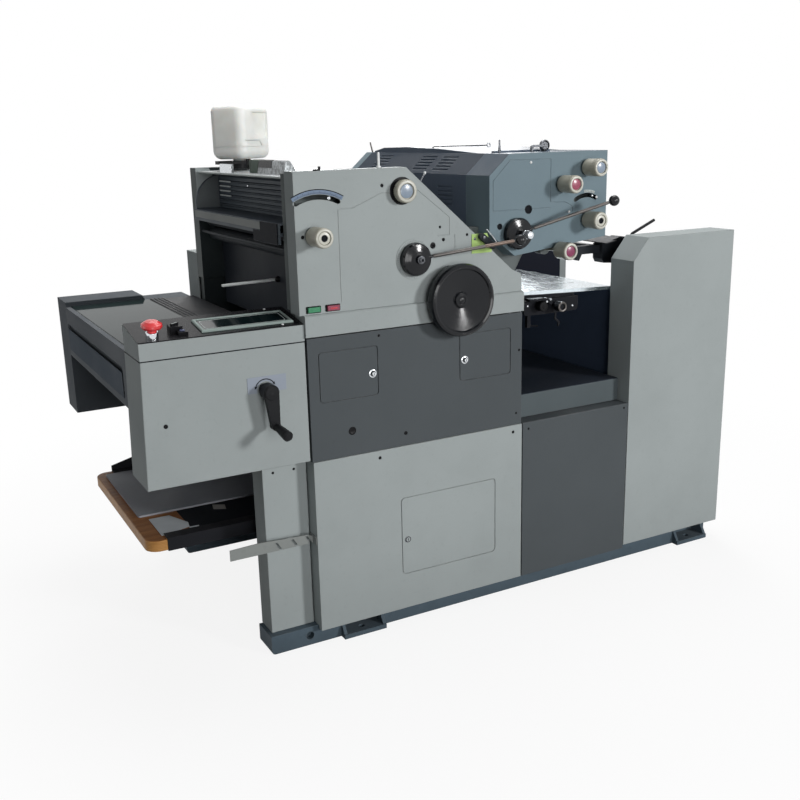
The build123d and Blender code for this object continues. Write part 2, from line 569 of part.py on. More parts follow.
# Feeder columns, inner plates and front plate
column = [(COLUMN_X0, 61), (COLUMN_X0, 1040), (1200, COLUMN_TOP), (COLUMN_X1, COLUMN_TOP), (COLUMN_X1, 61)]
near_col = tray(column, 0, COLUMN_W - 4, 4) + prism_y(column, COLUMN_W - 4, COLUMN_W)
near_col -= box(1144, 1573, 4, COLUMN_W - 4, 50, 80)
near_col -= box(1100, 1600, RAIL_Y0 - 4, 200, 40, BASE_H + SEAT)
far_col = back_tray(column, FAR_Y - COLUMN_W + 4, FAR_Y, 4)
far_col += prism_y(column, FAR_Y - COLUMN_W, FAR_Y - COLUMN_W + 4)
far_col -= box(1144, 1573, FAR_Y - COLUMN_W + 4, FAR_Y - 4, 50, 80)
far_col -= box(1100, 1600, 850, RAIL_Y1 + 4, 40, BASE_H + SEAT)
save("feeder_columns", near_col, far_col)
liner = [(1152, BASE_H + SEAT), (1152, 1030), (1206, 1098), (1540, 1098), (1540, BASE_H + SEAT)]
inner_frame = prism_y(liner, COLUMN_W, COLUMN_W + 8) + prism_y(liner, 902, 910)
inner_frame += box(1152, 1160, COLUMN_W + 7, 903, BASE_H + SEAT, 934)
save("feeder_inner_frame", inner_frame)
slope_x = [(704, 952), (704, 964), (1147, 946), (1163, 938), (1163, 934)]
save("feed_board", prism_y(slope_x, COLUMN_W + 8 + SEAT, 902 - SEAT))

# Drive of the feed board: hanger, clamp, two turned knobs and a catch
hanger = box(786, 1000, 104, 110, 884, 927)
hanger = fillet(hanger.edges().filter_by(Axis.Y).group_by(Axis.Z)[0], 12)
hanger += box(786, 1000, 104, 140, 927, 931)
hanger += prism_y([(786, 930), (786, 948.4), (1000, 940), (1000, 930)], 124, 140)
hanger += box(800, 812, 104, 116, 846, 890) + rod((806, 110, 851), (832, 92, 851), 3)
clamp_side = [(790, 934), (790, 942), (852, 940), (868, 934), (880, 922), (873, 916), (862, 926), (846, 933)]
clamp = prism_y(clamp_side, 78, 104.5)
hanger += clamp
for knob_x, knob_z, face_y, knob_r in ((842, 914, 74, 15), (905, 909, 60, 16)):
    turned = [
        (0, 106),
        (6, 106),
        (6, face_y + 30),
        (knob_r - 2, face_y + 30),
        (knob_r, face_y + 27),
        (knob_r, face_y + 3),
        (knob_r - 2, face_y),
        (knob_r - 6, face_y),
        (knob_r - 7, face_y + 4),
        (0, face_y + 4),
    ]
    hanger += turned_y(knob_x, knob_z, turned)
catch = flat([(908, 886), (914, 886), (914, 866), (930, 852), (926, 838), (920, 838), (922, 850), (908, 862)])
hanger += Pos(0, 104, 0) * extrude(Plane.XZ * catch, amount=-4)
save("feed_table_drive", hanger)

# Feed head and its lever
feed_head = box(1216, 1240, COLUMN_W + 8, 902, 1044, 1060)
block_side = [(1156, 1079), (1156, 1030), (1164, 1016), (1212, 1012), (1230, 1030)]
block_side += [(1262, 1044), (1262, 1096), (1236, 1100)]
feed_head += prism_y(block_side, 176, 224)
feed_head += box(1060, 1160, 190, 214, 1049, 1076)
feed_head = feed_head + prism_y([(1052, 1060), (1052, 1034), (1072, 1028), (1084, 1050)], 192, 212)
tray_plate = [(1128, 122), (1258, 200), (1290, 330), (1134, 312)]
feed_head += prism_z(tray_plate, 1086, 1089) + box(1190, 1204, 196, 210, 1070, 1087)
save("feed_head", feed_head)
pivot = (1222.0, 132.0, 1084.0)
bend = (1246.0, 132.0, 1112.0)
lever = cyl_y(pivot[0], pivot[2], 12, COLUMN_W + 8 + SEAT, 140)
lever += rod(pivot, bend, 5) + Pos(*bend) * Sphere(5)
lever += rod(bend, (1339, 132, 1150.5), 5)
save("feeder_lever", lever)

# Handwheel, turned with a dished face
wheel_shape = [
    (0, -8.5),
    (13, -8.5),
    (13, -20),
    (92, -26),
    (98, -22),
    (103, -26),
    (105, -34),
    (105, -46),
    (102, -54),
    (96, -57),
    (91, -55),
    (88, -50),
    (24, -38),
    (20, -44),
    (12, -45),
    (8, -40),
    (0, -40),
]
save("handwheel", turned_y(WHEEL_X, WHEEL_Z, wheel_shape))


# Pressure levers, one for each unit
def pressure_lever(x, z, tilt):
    """Round disc on the cover, with a rod that ends in a ball."""
    t = math.radians(tilt)
    disc = [(0, -0.5), (LEVER_DISC_R - 6, -0.5), (LEVER_DISC_R, -3), (LEVER_DISC_R, -18)]
    disc += [(LEVER_DISC_R - 4, -24), (24, -28), (14, -29), (0, -29)]
    piece = turned_y(x, z, disc)
    start = (x + 30 * math.cos(t), -20, z + 30 * math.sin(t))
    end = (x + LEVER_LEN * math.cos(t), -105, z + LEVER_LEN * math.sin(t))
    piece += rod(start, end, 4)
    piece += Pos(*end) * Sphere(LEVER_BALL_R)
    return piece


save("pressure_lever_1", pressure_lever(*LEVER_1) + cyl_y(LEVER_1[0] + 4, LEVER_1[1], 8, -35, -20))
shaft_side = [(0, -20), (12, -20), (12, -46), (9, -50), (9, -70), (7, -76), (0, -76)]
shaft_2 = turned_y(LEVER_2[0], LEVER_2[1], shaft_side)
save("pressure_lever_2", pressure_lever(*LEVER_2) + shaft_2)


# Adjusting knobs
def knob(x, z, y0, length, r, neck):
    """Turned knob with a neck against the cover and a hollow face."""
    y1 = y0 - length
    shape = [
        (0, y0),
        (neck, y0),
        (neck, y0 - 6),
        (r - 2, y0 - 8),
        (r, y0 - 11),
        (r, y1 + 2),
        (r - 2, y1),
        (r * 0.72, y1),
        (r * 0.68, y1 + 4),
        (0, y1 + 4),
    ]
    return turned_y(x, z, shape)


save("unit1_knob_upper", knob(300, 1301, -0.5, 30, 31, 20))
save("unit1_knob_lower", knob(30, 1196, -0.5, 74, 26, 12))
for letter, knob_x, knob_z in (("a", 938, 1341), ("b", 846, 1296), ("c", 942, 1185)):
    save("unit2_knob_" + letter, knob(knob_x, knob_z, -0.5, KNOB_OUT, KNOB_R, 12))
knob_d = knob(831, 1101, -6, KNOB_OUT - 6, KNOB_R, 12) + cyl_y(831, 1101, 6, -8, COVER_D)
save("unit2_knob_d", knob_d)
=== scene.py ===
"""Looks of the offset printing press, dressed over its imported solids."""

import json
import math

import bmesh
import bpy
import numpy as np
from mathutils import Matrix


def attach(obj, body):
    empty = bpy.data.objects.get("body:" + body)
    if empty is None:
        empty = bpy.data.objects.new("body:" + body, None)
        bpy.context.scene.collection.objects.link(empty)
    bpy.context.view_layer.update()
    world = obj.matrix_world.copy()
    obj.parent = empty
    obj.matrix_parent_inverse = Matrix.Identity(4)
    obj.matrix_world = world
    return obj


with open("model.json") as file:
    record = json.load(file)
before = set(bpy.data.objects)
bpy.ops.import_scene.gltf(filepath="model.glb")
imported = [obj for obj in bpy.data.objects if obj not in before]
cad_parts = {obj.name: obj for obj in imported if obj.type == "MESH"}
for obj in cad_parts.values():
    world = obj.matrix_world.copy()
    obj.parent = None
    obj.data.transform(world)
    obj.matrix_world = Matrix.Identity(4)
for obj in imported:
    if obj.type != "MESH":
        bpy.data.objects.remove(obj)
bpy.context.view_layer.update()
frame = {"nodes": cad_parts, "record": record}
nodes = frame["nodes"]

# Drawing zero, in millimetres: left end of the lower cover, at its face, on the floor
DRAWING_ZERO = np.array([804, 515, 0])


def to_metres(points):
    """Drawing millimetres to the frame's metres: less the drawing's zero, over a thousand."""
    return (np.asarray(points, float) - DRAWING_ZERO) / 1000


# Node trees

BEVEL_SAMPLES = 4


class Net:
    """A node tree with short calls that add a node and join it to others."""

    def __init__(self, tree):
        self.tree = tree

    def fill(self, node, values):
        for key, value in values.items():
            if isinstance(value, bpy.types.NodeSocket):
                self.tree.links.new(value, node.inputs[key])
            else:
                node.inputs[key].default_value = value

    def add(self, kind, inputs=None, **settings):
        node = self.tree.nodes.new("ShaderNode" + kind)
        for key, value in settings.items():
            setattr(node, key, value)
        self.fill(node, inputs or {})
        return node

    def use(self, group, values):
        """Place a shader node group with its own values."""
        node = self.tree.nodes.new("ShaderNodeGroup")
        node.node_tree = group
        self.fill(node, values)
        return node.outputs

    def math(self, operation, a, b=0, clamp=False):
        return self.add("Math", {0: a, 1: b}, operation=operation, use_clamp=clamp).outputs[0]

    def blend(self, amount, a, b):
        """Mix of two colours: a where amount is 0, b where it is 1."""
        return self.add("Mix", {0: amount, 6: a, 7: b}, data_type="RGBA").outputs[2]

    def noise(self, vector, scale, detail=3, rough=0.5):
        values = {"Vector": vector, "Scale": scale, "Detail": detail, "Roughness": rough}
        return self.add("TexNoise", values).outputs["Fac"]

    def ramp(self, value, low, high, to_low=0, to_high=1):
        """Smooth step of a value from low to high."""
        values = {"Value": value, "From Min": low, "From Max": high, "To Min": to_low, "To Max": to_high}
        return self.add("MapRange", values, interpolation_type="SMOOTHSTEP").outputs[0]

    def stretch(self, vector, scale):
        return self.add("Mapping", {"Vector": vector, "Scale": scale}).outputs[0]

    def link(self, value, socket):
        self.tree.links.new(value, socket)


def effect(name, inputs, outputs, build):
    """Shader node group: named inputs with defaults, named outputs, and the net between them."""
    tree = bpy.data.node_groups.new(name, "ShaderNodeTree")
    kinds = {"v": "NodeSocketVector", "c": "NodeSocketColor", "f": "NodeSocketFloat"}
    for label, kind, default in inputs:
        socket = tree.interface.new_socket(label, in_out="INPUT", socket_type=kinds[kind])
        if default is not None:
            socket.default_value = default
    for label, kind in outputs:
        tree.interface.new_socket(label, in_out="OUTPUT", socket_type=kinds[kind])
    entry = tree.nodes.new("NodeGroupInput")
    leave = tree.nodes.new("NodeGroupOutput")
    for label, value in build(Net(tree), entry.outputs).items():
        tree.links.new(value, leave.inputs[label])
    return tree


def rubbed_edges(net, put):
    """Mask of worn edges: how far the rounded normal leaves the true one, broken up by noise."""
    true = net.add("NewGeometry").outputs["Normal"]
    soft = net.add("Bevel", {"Radius": put["Width"]}, samples=BEVEL_SAMPLES).outputs[0]
    turn = net.add("VectorMath", {0: soft, 1: true}, operation="DOT_PRODUCT").outputs["Value"]
    bend = net.math("SUBTRACT", 1, turn, clamp=True)
    patchy = net.ramp(net.noise(put["Vector"], put["Scale"], 4, 0.65), 0.42, 0.62)
    worn = net.math("MULTIPLY", net.ramp(bend, 0.02, 0.16), patchy)
    return {"Mask": net.math("MULTIPLY", worn, put["Amount"], clamp=True)}


def settled_dust(net, put):
    """Mask of dust: faces that look up, times two sizes of noise."""
    normal = net.add("SeparateXYZ", {0: net.add("NewGeometry").outputs["Normal"]}).outputs["Z"]
    coarse = net.noise(put["Vector"], put["Scale"], 5, 0.6)
    fine = net.noise(put["Vector"], net.math("MULTIPLY", put["Scale"], 14), 2, 0.5)
    both = net.math("MULTIPLY", net.ramp(coarse, 0.3, 0.75), net.ramp(fine, 0.2, 0.8, 0.5, 1))
    upward = net.math("MULTIPLY", both, net.ramp(normal, 0.3, 0.95))
    return {"Mask": net.math("MULTIPLY", upward, put["Amount"], clamp=True)}


def sprayed_skin(net, put):
    """Sprayed paint: colour drifts in large patches and fine flecks, over a slight orange peel."""
    drift = net.noise(put["Vector"], put["Patch Scale"], 4, 0.55)
    fleck = net.ramp(net.noise(put["Vector"], 900, 2, 0.6), 0.3, 0.7, -0.35, 0.35)
    tone = net.math("ADD", net.ramp(drift, 0.25, 0.75, -1, 1), fleck)
    gain = net.math("ADD", 1, net.math("MULTIPLY", tone, put["Drift"]))
    shaded = net.add("VectorMath", {0: put["Colour"], "Scale": gain}, operation="SCALE").outputs[0]
    peel = net.noise(put["Vector"], 260, 3, 0.45)
    gloss = net.math("ADD", put["Roughness"], net.ramp(drift, 0.3, 0.7, -0.06, 0.06))
    return {"Colour": shaded, "Roughness": gloss, "Height": peel}


def drawn_lines(net, put):
    """Lines left by brushing or turning: noise stretched along one way of the surface."""
    drawn = net.add("VectorMath", {0: put["Vector"], 1: put["Stretch"]}, operation="MULTIPLY").outputs[0]
    line = net.noise(drawn, put["Scale"], 3, 0.7)
    spread = net.ramp(line, 0.25, 0.75, -0.08, 0.08)
    return {"Line": line, "Roughness": net.math("ADD", put["Roughness"], spread)}


def handled_grime(net, put):
    """Grime that gathers low down and in cloudy patches, from 0 clean to 1 dirty."""
    height = net.add("SeparateXYZ", {0: put["Vector"]}).outputs["Z"]
    low = net.ramp(height, put["Top"], 0, 0, 0.7)
    cloud = net.ramp(net.noise(put["Vector"], 9, 6, 0.65), 0.4, 0.8, 0, 0.35)
    spots = net.ramp(net.noise(put["Vector"], 60, 2, 0.5), 0.62, 0.7, 0, 0.25)
    dirt = net.math("ADD", low, net.math("ADD", cloud, spots))
    return {"Mask": net.math("MULTIPLY", dirt, put["Amount"], clamp=True)}


def facing_way(net, put):
    """Mask of the faces that look one way: the normal's share along that way, from 0.5 to 0.9, for painted
    light and shade by facing.
    """
    normal = net.add("NewGeometry").outputs["Normal"]
    share = net.add("VectorMath", {0: normal, 1: put["Way"]}, operation="DOT_PRODUCT").outputs["Value"]
    return {"Mask": net.ramp(share, 0.5, 0.9)}


VECTOR = ("Vector", "v", None)
AMOUNT = ("Amount", "f", 0.3)
MASK = [("Mask", "f")]
RUB = effect(
    "rubbed_edges",
    [VECTOR, ("Width", "f", 0.003), ("Scale", "f", 30), ("Amount", "f", 0.5)],
    MASK,
    rubbed_edges,
)
DUST = effect("settled_dust", [VECTOR, ("Scale", "f", 8), AMOUNT], MASK, settled_dust)
SKIN = effect(
    "sprayed_skin",
    [VECTOR, ("Colour", "c", None), ("Patch Scale", "f", 3), ("Drift", "f", 0.04),
     ("Roughness", "f", 0.4)],
    [("Colour", "c"), ("Roughness", "f"), ("Height", "f")],
    sprayed_skin,
)
LINES = effect(
    "drawn_lines",
    [VECTOR, ("Stretch", "v", (1, 1, 1)), ("Scale", "f", 200), ("Roughness", "f", 0.3)],
    [("Line", "f"), ("Roughness", "f")],
    drawn_lines,
)
GRIME = effect("handled_grime", [VECTOR, ("Top", "f", 0.3), AMOUNT], MASK, handled_grime)
FACING = effect("facing_way", [("Way", "v", (0, 0, 1))], MASK, facing_way)


def rgb(*values):
    """Screen colour from 0 to 255, made linear: ((c + 0.055) / 1.055) to the power 2.4."""
    c = np.asarray(values, float) / 255
    linear = np.where(c <= 0.04045, c / 12.92, ((c + 0.055) / 1.055) ** 2.4)
    return (*[float(x) for x in linear], 1)


def darker(colour, share, add=0):
    """Colour times a share, plus a little."""
    return (*[share * c + add for c in colour[:3]], 1)


def fresh_net(owner):
    """Empty node tree of a material or a world."""
    owner.use_nodes = True
    owner.node_tree.nodes.clear()
    return Net(owner.node_tree)


class Surface(Net):
    """Net of a new material, with its Principled shader and the object's coordinates."""

    def __init__(self, constant):
        self.material = bpy.data.materials.new("finish")
        super().__init__(fresh_net(self.material).tree)
        self.shader = self.add("BsdfPrincipled", constant)
        self.link(self.shader.outputs[0], self.add("OutputMaterial").inputs[0])
        self.where = self.add("TexCoord").outputs["Object"]

    def mask(self, group, **values):
        """Mask of a group at the object's coordinates."""
        return self.use(group, {"Vector": self.where, **values})["Mask"]

    def finish(self, colour, rough, height, strength, distance, edge):
        """Join colour, roughness, and a bump over normals that are rounded at the edges."""
        soft = self.add("Bevel", {"Radius": edge}, samples=BEVEL_SAMPLES).outputs[0]
        values = {"Height": height, "Strength": strength, "Distance": distance, "Normal": soft}
        bump = self.add("Bump", values).outputs[0]
        self.fill(self.shader, {"Base Color": colour, "Roughness": rough, "Normal": bump})
        return self.material


BARE_EDGE = (0.5, 0.5, 0.48, 1)
DUST_COLOUR = (0.42, 0.40, 0.37, 1)
UPWARD = (0, 0, 1)


def paint(
    colour, rough=0.42, drift=0.035, patch=3, worn=BARE_EDGE, wear=0.3, dust=0.12, grime=0.2,
    top=0.35, peel=0.2, edge=0.002, shine=0.05, way=None, light_and_shade_colour=None,
):
    """Sprayed enamel: drifting colour, orange peel, rubbed edges, dust on top, grime low down.

    Faces that look along way, if it is given, start from light_and_shade_colour: painted light and shade, a
    tone set by the way a face looks.
    """
    net = Surface({"Specular IOR Level": shine})
    base = colour
    # Painted light and shade: faces that look along way take another tone
    if way:
        base = net.blend(net.use(FACING, {"Way": way})["Mask"], colour, light_and_shade_colour)
    values = {"Vector": net.where, "Colour": base, "Patch Scale": patch, "Drift": drift, "Roughness": rough}
    skin = net.use(SKIN, values)
    rub = net.mask(RUB, Width=edge * 1.5, Amount=wear)
    dirt = net.mask(GRIME, Top=top, Amount=grime)
    film = net.mask(DUST, Amount=dust)
    soiled = net.blend(dirt, skin["Colour"], darker(colour, 0.35, 0.01))
    dusty = net.blend(film, net.blend(rub, soiled, worn), DUST_COLOUR)
    dulled = net.math("MULTIPLY", net.math("ADD", film, dirt), 0.3)
    gloss = net.math("ADD", skin["Roughness"], dulled, clamp=True)
    return net.finish(dusty, gloss, skin["Height"], peel, 0.0004, edge)


def metal(
    colour, rough=0.25, stretch=(1, 1, 1), scale=220, dull=0.2, lines=0.1, deep=0.00005, fleck=0
):
    """Bare or plated metal: drawn lines, dark flecks, and dull spots where it was handled."""
    net = Surface({"Metallic": 1})
    values = {"Vector": net.where, "Stretch": stretch, "Scale": scale, "Roughness": rough}
    drawn = net.use(LINES, values)
    dirt = net.mask(GRIME, Top=0.05, Amount=dull)
    shade = net.blend(net.ramp(drawn["Line"], 0.3, 0.7), darker(colour, 0.86), colour)
    if fleck > 0:
        spots = net.ramp(net.noise(net.where, 70, 4, 0.8), 0.4, 0.6, 0, fleck)
        shade = net.blend(spots, shade, darker(colour, 0.25))
    handled = net.blend(dirt, shade, darker(colour, 0.45))
    gloss = net.math("ADD", drawn["Roughness"], net.math("MULTIPLY", dirt, 0.35), clamp=True)
    return net.finish(handled, gloss, drawn["Line"], lines, deep, 0.001)


def moulded(colour, rough=0.35, grain=0.2, scale=420, dirt=0.15, edge=0.001, constant=None):
    """Moulded plastic, lacquer or rubber: fine grain in the skin, slight soiling."""
    net = Surface(constant or {})
    grainy = net.noise(net.where, scale, 3, 0.6)
    soil = net.mask(GRIME, Top=0.05, Amount=dirt)
    cloud = net.ramp(net.noise(net.where, 14, 3, 0.5), 0.3, 0.7)
    tone = net.blend(cloud, darker(colour, 0.9), colour)
    soiled = net.blend(soil, tone, darker(colour, 0.5))
    uneven = net.ramp(grainy, 0.3, 0.7, rough - 0.06, rough + 0.06)
    gloss = net.math("MAXIMUM", uneven, 0.02, clamp=True)
    return net.finish(soiled, gloss, grainy, grain, 0.0002, edge)


def varnished_ply():
    """Varnished plywood: pores drawn along the board, plies told apart by height on its edges, and its top
    painted darker as shade.
    """
    net = Surface({"Specular IOR Level": 0.2})
    pores = net.noise(net.stretch(net.where, (4, 80, 80)), 8, 4, 0.7)
    figure = net.noise(net.stretch(net.where, (1.5, 14, 14)), 3, 4, 0.6)
    wave = {"Vector": net.where, "Scale": 70, "Distortion": 0.4}
    plies = net.add("TexWave", wave, bands_direction="Z").outputs["Fac"]
    level = net.use(FACING, {"Way": UPWARD})["Mask"]
    band = net.ramp(figure, 0.3, 0.7)
    edge_grain = net.blend(band, rgb(172, 124, 68), rgb(198, 148, 88))
    # Painted shade: the board's top takes darker grain than its edges
    shaded_top_grain = net.blend(band, rgb(130, 84, 46), rgb(158, 106, 60))
    grain = net.blend(level, edge_grain, shaded_top_grain)
    streak = net.blend(net.ramp(pores, 0.56, 0.76, 0, 0.7), grain, rgb(122, 78, 38))
    upright = net.math("SUBTRACT", 1, level)
    layered = net.math("MULTIPLY", net.math("MULTIPLY", plies, 0.35), upright)
    edged = net.blend(layered, streak, rgb(134, 84, 40))
    soiled = net.blend(net.mask(GRIME, Top=0.1, Amount=0.6), edged, rgb(76, 52, 34))
    return net.finish(soiled, net.ramp(pores, 0.2, 0.8, 0.35, 0.6), pores, 0.15, 0.0003, 0.002)


# Plain values of the shaders
GLOSS = {"Specular IOR Level": 0.12}
DULL = {"Specular IOR Level": 0.1}
FLAT = {"Specular IOR Level": 0.02}
COATED = {"Coat Weight": 0.25, "Coat Roughness": 0.12}
MILKY = {"Subsurface Weight": 0.5, "Subsurface Radius": (1, 0.85, 0.75), "Subsurface Scale": 0.05}



def lacquer(colour, rough=0.3, grain=0.1):
    """Plastic under clear lacquer, nearly clean."""
    return moulded(colour, rough, grain, dirt=0.05, constant=COATED)


# Colours of paint worn thin at its edges
WORN_MID = rgb(140, 143, 143)
WORN_LIGHT = rgb(165, 170, 172)

# Finish of each slot
FINISH = {
    "pale_paint": paint(rgb(164, 171, 171), 0.55, shine=0.02),
    "dark_paint": paint(rgb(84, 89, 92), worn=WORN_MID),
    "unit2_paint": paint(rgb(118, 135, 143), worn=WORN_LIGHT, grime=0.15),
    "base_paint": paint(
        rgb(84, 98, 108), 0.5, 0.08, 12, rgb(116, 118, 116), wear=0.5, grime=0.45, top=0.09,
        peel=0.6,
    ),
    "frame_paint": paint(rgb(104, 110, 110), 0.5, 0.06, 9, grime=0.4, top=0.4, peel=0.5),
    "black_steel": paint(rgb(38, 41, 46), 0.45, worn=rgb(96, 98, 98), grime=0.25, shine=0.1),
    "gloss_black": moulded(rgb(15, 18, 23), 0.12, 0.02, dirt=0.08, constant={"Specular IOR Level": 0.3}),
    "matt_black": moulded(rgb(30, 31, 33), 0.45, constant=DULL),
    "rubber": moulded(rgb(48, 52, 56), 0.6, grain=0.4, constant=DULL),
    "steel": metal(rgb(220, 230, 235), 0.22, (1, 0.06, 1), dull=0.12, lines=0.01),
    "zinc": metal(rgb(150, 154, 156), 0.42, scale=60, dull=0.5, lines=0.3, deep=0.0003, fleck=0.85),
    "plywood": varnished_ply(),
    "white_plastic": moulded(rgb(246, 247, 242), 0.38, grain=0.05, dirt=0.05, edge=0.002, constant=MILKY),
    "cream_plastic": moulded(rgb(172, 169, 154), 0.36, grain=0.1),
    "red_plastic": moulded(rgb(222, 40, 46), 0.3, grain=0.05, constant=COATED),
    "green_plastic": moulded(rgb(54, 138, 96), 0.3, grain=0.05),
    "display_rim": paint(rgb(146, 160, 156), 0.36, grime=0.1, edge=0.001),
    "white_paint": paint(rgb(146, 150, 148), 0.45, grime=0.25, top=0.6, edge=0.001),
}

# Nodes whose finish differs from the rest of their slot
OWN_FINISH = {
    # Upward sloping faces take a darker tone: painted shade
    "unit2_hood": paint(
        rgb(98, 110, 126), worn=rgb(140, 148, 156), grime=0.15, dust=0,
        way=(-0.4, 0, 0.92), light_and_shade_colour=rgb(45, 55, 67),
    ),
    # Faces sloping up and to the left take a darker tone: painted shade
    "unit2_near_cover": paint(
        rgb(118, 135, 143), worn=WORN_LIGHT, grime=0.15,
        way=(-0.6, 0, 0.8), light_and_shade_colour=rgb(80, 92, 104),
    ),
    # Faces that look toward the operator take a dark tone: painted shade on the frame's inner face
    "far_side_frame": paint(
        rgb(104, 110, 110), 0.5, 0.06, grime=0.4, top=0.4,
        way=(0, -1, 0), light_and_shade_colour=rgb(44, 50, 52),
    ),
    "red_button": moulded(rgb(142, 58, 80), 0.35, grain=0.05),
    "delivery_end_panel": paint(rgb(96, 101, 106), 0.55, worn=rgb(150, 152, 152), shine=0.02),
    "delivery_far_box": paint(rgb(84, 89, 94), 0.55, worn=rgb(140, 142, 142), shine=0.02),
    "delivery_top_plate": moulded(rgb(44, 56, 56), 0.07, 0.02, dirt=0.1, constant=FLAT),
    "delivery_ribbed_strip": paint(rgb(34, 36, 40), 0.5, dust=0.08, shine=0.15),
    # Upward faces take a near-black tone: painted shade on the bed's floor
    "feeder_bed": paint(rgb(88, 96, 99), worn=WORN_MID, dust=0.05, way=UPWARD, light_and_shade_colour=rgb(48, 54, 64)),
    # Painted shade: near-black, with a lighter blue-grey painted on the faces that look -X
    "feeder_inner_frame": paint(
        rgb(26, 29, 40), dust=0, grime=0.3,
        way=(-1, 0, 0), light_and_shade_colour=rgb(72, 84, 104),
    ),
    "unit2_lower_body": paint(rgb(36, 40, 50), dust=0, shine=0.1),
    "unit1_housing": paint(rgb(30, 34, 40), 0.55, grime=0.3, dust=0, shine=0.08),
    # Upward faces take a darker tone: painted shade
    "roller_guard": paint(
        rgb(84, 92, 99), 0.4, worn=rgb(128, 132, 134), grime=0.3, dust=0.05,
        way=UPWARD, light_and_shade_colour=rgb(48, 54, 62),
    ),
    "feed_table_drive": paint(rgb(32, 33, 37), 0.35, worn=rgb(110, 110, 110), wear=0.5, dust=0.05),
    "pile_plate": paint(rgb(150, 153, 160), 0.36, 0.06, grime=0.3, top=0.45, dust=0.1),
    "pile_lift": paint(rgb(26, 27, 31), 0.5, worn=rgb(80, 80, 82), dust=0.05, shine=0.08),
    "console_panel": moulded(rgb(24, 24, 27), 0.24, grain=0.05, constant=GLOSS, dirt=0.1),
}
for part in frame["record"]["subparts"]:
    mesh = nodes[part["node"]].data
    mesh.materials.clear()
    mesh.materials.append(OWN_FINISH.get(part["node"]) or FINISH[part["material_slot"]])


# Slot and finish of the small pieces
TRIM = {
    "chrome": ("steel", metal(rgb(222, 226, 230), 0.12, scale=300, lines=0.03)),
    "dark_chrome": ("steel", metal(rgb(96, 98, 102), scale=300, dull=0.3)),
    "rod_steel": ("steel", metal(rgb(90, 87, 85), 0.36, dull=0.5)),
    "rod_copper": ("steel", metal(rgb(104, 92, 85), 0.36, dull=0.4)),
    "tag_green": ("steel", paint(rgb(178, 208, 128), 0.4, wear=0.1, edge=0.0005)),
    "black_oxide": ("steel", moulded(rgb(20, 20, 23), 0.45, 0.1, constant=DULL)),
    "face_silver": ("zinc", metal(rgb(206, 210, 214), scale=120, dull=0.15)),
    "face_blue": ("steel", lacquer(rgb(132, 147, 164))),
    "face_rose": ("red_plastic", lacquer(rgb(150, 62, 86))),
    "face_plum": ("red_plastic", lacquer(rgb(128, 34, 78))),
    "knob_rim": ("cream_plastic", moulded(rgb(204, 203, 192), 0.34, 0.1, dirt=0.1)),
    # Near-black: painted shade inside holes, bores, slots and gaps, also used for dark sheets
    "hollow": ("matt_black", moulded(rgb(26, 28, 32), 0.6, constant={"Specular IOR Level": 0.04})),
    "white_cap": ("white_plastic", moulded(rgb(228, 230, 230), grain=0.05, dirt=0.05)),
    "black_plastic": ("matt_black", moulded(rgb(22, 22, 24), 0.3, 0.1, constant=GLOSS)),
    "scale_blue": ("display_rim", paint(rgb(126, 142, 164), 0.3, dust=0.05, edge=0.0005)),
    "scale_mark": ("matt_black", paint(rgb(30, 32, 36), 0.5, wear=0.1, dust=0.05, edge=0.0003)),
    "scale_light": ("white_paint", paint(rgb(184, 192, 190), 0.35, wear=0.1, dust=0.05, edge=0.0005)),
    "plate_blue": ("white_paint", paint(rgb(158, 166, 178), 0.32, wear=0.1, top=0.9, edge=0.0006)),
    "glass": ("gloss_black", lacquer(rgb(16, 28, 30), 0.05, 0)),
    "key_blue": ("matt_black", moulded(rgb(58, 66, 104), 0.3, 0.05)),
    "gear_green": ("dark_paint", paint(rgb(84, 98, 88), 0.45, worn=rgb(120, 126, 112), peel=0.5)),
    "paper": ("white_plastic", moulded(rgb(196, 202, 206), 0.6, 0.4, 900, 0.3)),
    "paper_grey": ("white_plastic", moulded(rgb(146, 143, 140), 0.6, 0.4, 900, 0.4)),
    # Lighter grey of the painted light on the guard's cheek
    "cheek_grey": ("dark_paint", paint(rgb(108, 113, 115), 0.45, dust=0, grime=0.3)),
    "panel_blue": ("dark_paint", paint(rgb(60, 70, 80), 0.55, dust=0, grime=0.3, shine=0.02)),
    # Near-white paint standing in for the highlights of a bright rod and rib ends
    "painted_highlight": ("white_paint", paint(rgb(226, 231, 230), 0.3, wear=0.1, edge=0.001)),
}
for table in (FINISH, OWN_FINISH, {key: row[1] for key, row in TRIM.items()}):
    for key, material in table.items():
        material.name = "finish_" + key


# Shapes: points in millimetres, local z out of the face, with rows of point numbers as faces

FRONT = np.array([[1, 0, 0], [0, 0, -1], [0, 1, 0]])
BACK = np.array([[-1, 0, 0], [0, 0, 1], [0, 1, 0]])
LEFT = np.array([[0, 0, -1], [-1, 0, 0], [0, 1, 0]])
TOP = np.eye(3)
SHARP_ANGLE = math.radians(34)
BEVEL_ANGLE = math.radians(40)
SAME_POINT = 1e-6


def cos_sin(degrees):
    """Cosine and sine of an angle in degrees."""
    return math.cos(math.radians(degrees)), math.sin(math.radians(degrees))


def on_circle(angle):
    """Points on the unit circle at angles in radians."""
    return np.stack([np.cos(angle), np.sin(angle)], -1)


def all_round(count):
    """Angles in degrees of that many marks, evenly spaced over a full turn."""
    return np.linspace(0, 360, count, endpoint=False)


def tilt(degrees):
    """Turn about local x."""
    c, s = cos_sin(degrees)
    return np.array([[1, 0, 0], [0, c, -s], [0, s, c]])


def spin(degrees):
    """Turn about local z."""
    c, s = cos_sin(degrees)
    return np.array([[c, -s, 0], [s, c, 0], [0, 0, 1]])


def moved(shape, by=(0, 0, 0), turn=TOP):
    """Shape turned, then shifted."""
    points, rows = shape
    return points @ turn.T + np.asarray(by, float), rows


